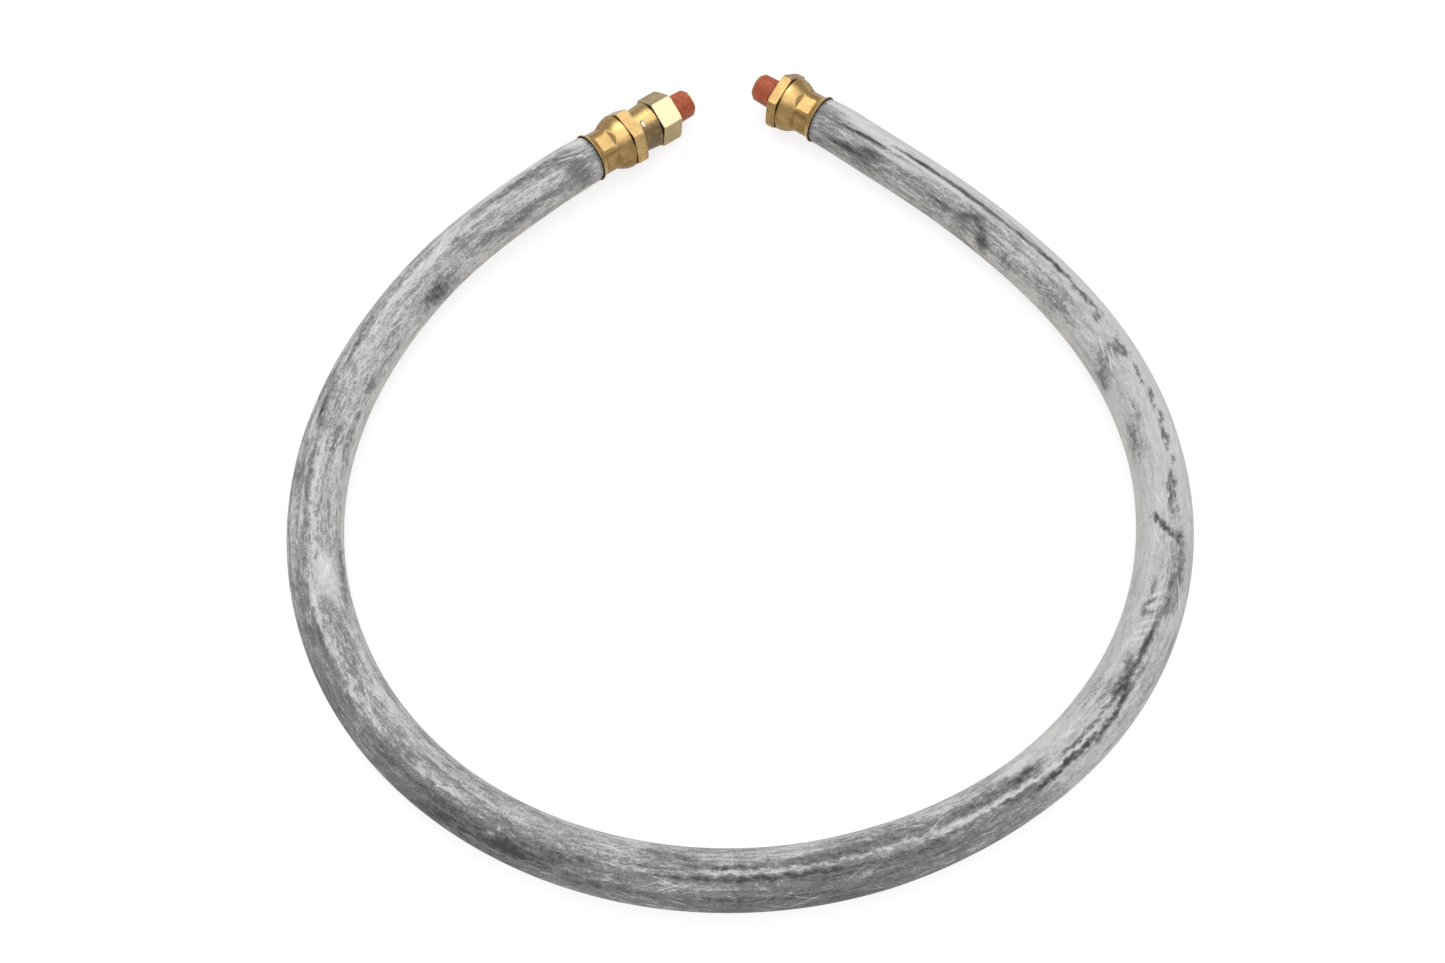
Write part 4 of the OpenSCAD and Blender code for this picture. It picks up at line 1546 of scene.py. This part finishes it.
@dataclass(frozen=True)
class PipeThread:
    """A tapered male thread with its dried sealant, as one skin over the brass core.

    Args:
        name: The piece's name.
        node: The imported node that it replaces.
        body: The body that it rides on.
        axis: The axis of its end.
        start: The station at which the thread begins.
        length: The thread's length.
        fill: How far the sealant fills the thread where it lies thinnest.
        crust: How much more it fills where it is crusted.
        crust_pitch: How far along the thread a crust's phase goes by one radian.
        crust_turns: How many waves each of the crust's two patterns has round the thread.
        crust_lag: The second pattern's phase, in radians.
        tip_radius: The thread's radius at its tip.
        taper: How much the radius grows for each unit back from the tip.
        depth: The thread's depth.
        pitch: The thread's pitch.
        sharpness: How steep its flanks are; more than 1 leaves flat crests.
        bare_start: How much stays bare at its start.
        bare_tip: How much stays bare at its tip.
        run_out: How far the coat takes to reach its full height at each end.
        proud: How far the coat stands over the thread's crests.
        sunk: How far the skin's inner side lies in the core.
        rings: Rings along it.
        sides: Points in each ring.
    """

    name: str
    node: str
    body: Body
    axis: EndAxis
    start: float
    length: float
    fill: float = 0.76
    crust: float = 0.12
    crust_pitch: float = 1.7 * MM
    crust_turns: tuple[int, int] = (3, 2)
    crust_lag: float = 1
    tip_radius: float = 6.5 * MM
    taper: float = 1 / 32
    depth: float = 0.6 * MM
    pitch: float = 25.4 / 18 * MM
    sharpness: float = 1.25
    bare_start: float = 0.5 * MM
    bare_tip: float = 1.2 * MM
    run_out: float = 0.35 * MM
    proud: float = 0.04 * MM
    sunk: float = 0.02 * MM
    rings: int = 110
    sides: int = 96

    def build(self, finish: bpy.types.Material) -> bpy.types.Object:
        """Draws the helix round its cone and dresses it.

        Args:
            finish: The sealant's material.

        Returns:
            The coat, in its place.
        """
        low, high = self.start + self.bare_start, self.start + self.length - self.bare_tip
        stations = np.linspace(low, high, self.rings)[:, None]
        turn = (np.arange(self.sides) * 2 * math.pi / self.sides)[None, :]
        lead = stations / self.pitch - turn / (2 * math.pi)
        wave = np.clip(np.abs(lead % 1 * 2 - 1) * self.sharpness, 0, 1)
        ends = ramp(np.minimum(stations - low, high - stations), 0, self.run_out)
        fill = self.fill + self.crust * self.crusted(stations, turn)
        height = (wave * (1 - fill) + fill) * np.sqrt(ends)
        root = self.tip_radius + (self.start + self.length - stations) * self.taper - self.depth
        skins = (root + (self.depth + self.proud) * height, root - self.sunk + 0 * turn)
        points = [np.stack([radius * np.cos(turn), radius * np.sin(turn), stations + 0 * turn], 2)
                  for radius in skins]
        faces = wall_faces(self.rings, self.rings, self.sides)
        piece = mesh_piece(self.name, np.concatenate(points).reshape(-1, 3), faces)
        put_values(piece, "crest", np.concatenate([wave, 0 * wave]).ravel())
        piece.data.transform(self.axis.matrix())
        dress(piece, finish, self.body)
        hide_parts(self.node)
        return piece

    def crusted(self, stations: np.ndarray, turn: np.ndarray) -> np.ndarray:
        """Where the sealant is crusted, from 0 to 1, by station and turn."""
        first, second = self.crust_turns
        slanting = np.sin(first * turn + stations / self.crust_pitch)
        return 0.5 + 0.5 * slanting * np.sin(second * turn + self.crust_lag)


TURNED: Colour = (0.66, 0.47, 0.19)
TURNED_BROWN: Colour = (0.30, 0.19, 0.08)
WIRE_DARK: Colour = (0.645, 0.54, 0.435)
WIRE_LIGHT: Colour = (0.86, 0.72, 0.58)
BRIGHT: Colour = (0.632, 0.428, 0.175)
BROWN: Colour = (0.20, 0.115, 0.043)
STAINED: Colour = (0.17, 0.105, 0.055)
PALE: Colour = (0.88, 0.78, 0.50)
OLIVE: Colour = (0.29, 0.20, 0.08)


def nut_bands(rim: Table, waist: Table, dome: Table) -> tuple[Band, Band, Band]:
    """The tarnish of a nut, with painted shade and painted highlights by facet: round its rim,
    round its waist and round its dome.
    """
    behind, rim_end, waist_end, front = -2, 2.4, 10.2, 20
    return Band(behind, rim_end, rim), Band(rim_end, waist_end, waist), Band(waist_end, front, dome)


def tarnished_and_shaded_brass() -> dict[str, Brass]:
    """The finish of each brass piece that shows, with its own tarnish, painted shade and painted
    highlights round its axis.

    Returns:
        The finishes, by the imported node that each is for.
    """
    # Tarnish by degrees round each axis, with painted light in it: low values paint highlights on
    # the flats, dome and barrel where they would mirror the overhead lamp, and high values paint
    # shade on the facets that face away, over real tarnish and the barrel's stains.
    rim = ((-90, 0.6), (0, 0.4), (60, 0.35), (120, 0.6))
    waist = facets(-131, (0.8, 0.75, 0.25, 0.75, 0.85, 0.85))
    dome = ((-110, 0.85), (-60, 0.85), (-38, 0.75), (-12, 0.5), (8, 0.15), (30, 0.1), (48, 0.6),
            (75, 0.78), (100, 0.85), (140, 0.9))
    hexagon = facets(-135, (0.6, 0.5, 0.15, 0.45, 0.6, 0.6))
    barrel = ((-60, 0.8), (-25, 0.55), (-5, 0.25), (12, 0.0), (28, 0.1), (38, 0.6), (55, 0.85),
              (85, 1.0), (120, 1.0))
    adapter = facets(-178, (0.8, 0.8, 0.9, 0.0, 0.9, 0.8))
    far_rim = ((-120, 0.6), (-60, 0.4), (0, 0.4), (60, 0.6))
    far_waist = facets(-170, (0.9, 0.85, 0.45, 0.8, 0.8, 0.8))
    far_dome = ((-120, 0.85), (-85, 0.8), (-60, 0.65), (-45, 0.3), (-18, 0.12), (8, 0.5),
                (40, 0.7), (90, 0.8))
    far_hexagon = facets(-174, (0.85, 0.8, 0.42, 0.85, 0.8, 0.8))
    hexagon_end, barrel_end = 24.1, 40
    body = (Band(0, hexagon_end, hexagon), Band(hexagon_end, barrel_end, barrel))
    return {
        "swivel_end_nut": Brass("swivel_nut_brass", BRIGHT, BROWN, axis=SWIVEL_AXIS,
                                bands=nut_bands(rim, waist, dome)),
        "swivel_end_body": Brass("swivel_body_brass", BRIGHT, STAINED, stain=0.7,
                                 axis=SWIVEL_AXIS, bands=body),
        "swivel_adapter": Brass("adapter_brass", PALE, OLIVE, axis=SWIVEL_AXIS,
                                bands=(Band(20, 80, adapter),), mottle=0.35),
        "fixed_end_nut": Brass("fixed_nut_brass", BRIGHT, BROWN, axis=FIXED_AXIS,
                               bands=nut_bands(far_rim, far_waist, far_dome)),
        "fixed_end_body": Brass("fixed_body_brass", BRIGHT, BROWN, axis=FIXED_AXIS,
                                bands=(Band(0, 60, far_hexagon),)),
    }


@dataclass
class CadFinishes:
    """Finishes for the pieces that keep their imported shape.

    Args:
        edge: How wide a sharp edge is rounded.
        edge_steps: Faces across a rounded edge.
        weld: How close points have to lie to become one.
        flat: The angle in degrees below which faces become one.
        sharp: The angle in degrees from which an edge is rounded.
        by_slot: The finish of each record slot, made here.
        by_node: The finish of each node with a tarnish of its own, made here.
    """

    edge: float = 0.25 * MM
    edge_steps: int = 3
    weld: float = 0.002 * MM
    flat: float = 0.5
    sharp: float = 28
    by_slot: dict[str, bpy.types.Material] = field(init=False)
    by_node: dict[str, bpy.types.Material] = field(init=False)

    def __post_init__(self) -> None:
        """Makes each finish once."""
        turned = Brass("turned_brass", TURNED, TURNED_BROWN, roughness=0.25, tarnish=0.2)
        wire = Plain("bright_wire", WIRE_DARK, WIRE_LIGHT, metallic=1.0, roughness=0.22,
                     cloud=Grain(0.6 * MM), relief=0.01 * MM)
        hidden = (turned, Plain("seal_rubber"), wire)
        self.by_slot = {finish.name: finish.build() for finish in hidden}
        self.by_node = {node: finish.build() for node, finish in tarnished_and_shaded_brass().items()}

    def dress_all(self) -> None:
        """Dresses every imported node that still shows."""
        for part in frame["record"]["subparts"]:
            node, slot = part["node"], part["material_slot"]
            finish = self.by_node.get(node) or self.by_slot.get(slot)
            if finish is None:
                continue
            coat(frame["nodes"][node], finish)
            if node in self.by_node:
                self.round_edges(frame["nodes"][node])
            log.info("%s: %s", node, slot)

    def round_edges(self, piece: bpy.types.Object) -> None:
        """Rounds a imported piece's sharp edges with modifiers.

        Args:
            piece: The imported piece.
        """
        weld = piece.modifiers.new("weld", "WELD")
        weld.merge_threshold = self.weld
        flat = piece.modifiers.new("flat", "DECIMATE")
        flat.decimate_type, flat.angle_limit = "DISSOLVE", math.radians(self.flat)
        bevel = piece.modifiers.new("bevel", "BEVEL")
        bevel.width, bevel.segments = self.edge, self.edge_steps
        bevel.limit_method, bevel.angle_limit = "ANGLE", math.radians(self.sharp)
        bevel.harden_normals = True


# ---- The studio ----


@dataclass(frozen=True)
class Lamp:
    """A round soft lamp.

    Args:
        name: Its name.
        at: Where it hangs.
        size: Its diameter.
        power: Its power in watts.
    """

    name: str
    at: Point
    size: float
    power: float

    def hang(self, target: Point) -> None:
        """Hangs the lamp.

        Args:
            target: The point that it is turned to.
        """
        data = bpy.data.lights.new(self.name, "AREA")
        data.shape, data.size, data.energy = "DISK", self.size, self.power
        lamp = bpy.data.objects.new(self.name, data)
        lamp.location = self.at
        aim = Vector(target) - lamp.location
        lamp.rotation_euler = aim.to_track_quat("-Z", "Y").to_euler()
        bpy.context.scene.collection.objects.link(lamp)


@dataclass(frozen=True)
class Studio:
    """A white floor, a wide soft lamp overhead, a small one in front, and the camera.

    Args:
        eye: Where the camera stands.
        look_down: How far it looks down, in degrees.
        lens: Its focal length in mm.
        sensor: The width of its sensor in mm.
        clip: The nearest and the furthest that it sees.
        lamps: The lamps.
        target: Where they shine.
        floor_size: How wide the floor is.
        floor_drop: How far it lies below the hose.
        floor_colour: Its colour.
        floor_share: How far it shows its own white instead of the light on it.
        floor_glow: The strength of that white.
        floor_fades: The distances between which it turns all white.
        sky: The sky's strength overhead, where the horizon has 1.
        horizon: The heights, as shares of straight up, between which that 1 fades.
    """

    eye: Point = (0.00771, -0.4471, 0.5102)
    look_down: float = 62.51
    lens: float = 34.19
    sensor: float = 36.0
    clip: Span = (0.01, 50.0)
    lamps: tuple[Lamp, ...] = (
        Lamp("overhead", (0.05, -0.25, 1.3), 2.4, 18.0),
        Lamp("key", (-0.3, 0.5, 1.25), 1.1, 4.0),
    )
    target: Point = (0, -0.15, 0)
    floor_size: float = 12.0
    floor_drop: float = 0.02 * MM
    floor_colour: Colour = (0.9, 0.9, 0.9)
    floor_share: float = 0.7
    floor_glow: float = 1.12
    floor_fades: Span = (0.8, 3.0)
    sky: float = 0.42
    horizon: Span = (0.12, 0.36)

    def build(self) -> None:
        """Sets up the camera, the floor, the world and the lamps."""
        self.place_camera()
        self.lay_floor()
        self.light_world()
        for lamp in self.lamps:
            lamp.hang(self.target)
        bpy.context.scene.view_settings.view_transform = "Standard"

    def place_camera(self) -> None:
        """Looks down on the hose from in front."""
        data = bpy.data.cameras.new("camera")
        data.lens, data.sensor_width = self.lens, self.sensor
        data.clip_start, data.clip_end = self.clip
        camera = bpy.data.objects.new("camera", data)
        camera.location = self.eye
        camera.rotation_euler = Euler((math.radians(90 - self.look_down), 0, 0))
        bpy.context.scene.collection.objects.link(camera)
        bpy.context.scene.camera = camera

    def lay_floor(self) -> None:
        """A wide white floor that keeps a soft shadow."""
        half, low = self.floor_size / 2, -self.floor_drop
        corners = [(-half, -half, low), (half, -half, low), (half, half, low), (-half, half, low)]
        floor = mesh_piece("floor", np.array(corners), [(0, 1, 2, 3)], smooth=False)
        material, g = new_graph("white_floor")
        camera_ray = g.node("ShaderNodeLightPath", None, None, "Is Camera Ray")
        seen = g.math("MAXIMUM", camera_ray, camera_ray.sibling("Is Glossy Ray"))
        seen = g.math("MAXIMUM", seen, camera_ray.sibling("Is Transmission Ray"))
        matte = g.node("ShaderNodeBsdfDiffuse", None, {"Color": (*self.floor_colour, 1)})
        white = {"Color": (1, 1, 1, 1), "Strength": self.floor_glow}
        glow = g.node("ShaderNodeEmission", None, white)
        away = g.vector("LENGTH", g.place(), output="Value").step(*self.floor_fades)
        share = self.floor_share + (1 - self.floor_share) * away
        g.surface(g.node("ShaderNodeMixShader", None, {0: seen * share, 1: matte, 2: glow}))
        floor.data.materials.append(material)

    def light_world(self) -> None:
        """A grey sky above a white horizon, as in a studio with pale walls."""
        world = bpy.data.worlds.new("sky")
        world.use_nodes = True
        bpy.context.scene.world = world
        g = Graph(world.node_tree)
        height = g.dot(g.node("ShaderNodeTexCoord", None, None, "Generated"), (0, 0, 1))
        strength = 1 - (1 - self.sky) * height.step(*self.horizon)
        white = {"Color": (1, 1, 1, 1), "Strength": strength}
        g.surface(g.node("ShaderNodeBackground", None, white), "ShaderNodeOutputWorld")


def build_all() -> None:
    """Builds the studio and every piece, in order."""
    logging.basicConfig(level=logging.INFO, format="%(name)s: %(message)s")
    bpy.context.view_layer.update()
    Studio().build()
    RubberHose().build()
    sealant = DriedSealant().build()
    threads = [
        PipeThread("swivel_thread", "swivel_thread_sealant", Body.SWIVEL_TIP, SWIVEL_AXIS,
                   start=46.5 * MM, length=12.5 * MM),
        PipeThread("fixed_thread", "fixed_thread_sealant", Body.HOSE, FIXED_AXIS,
                   start=23.1 * MM, length=13.5 * MM, fill=0.86),
    ]
    for thread in threads:
        thread.build(sealant)
        log.info("%s built", thread.name)
    CadFinishes().dress_all()


if __name__ == "__main__":
    build_all()
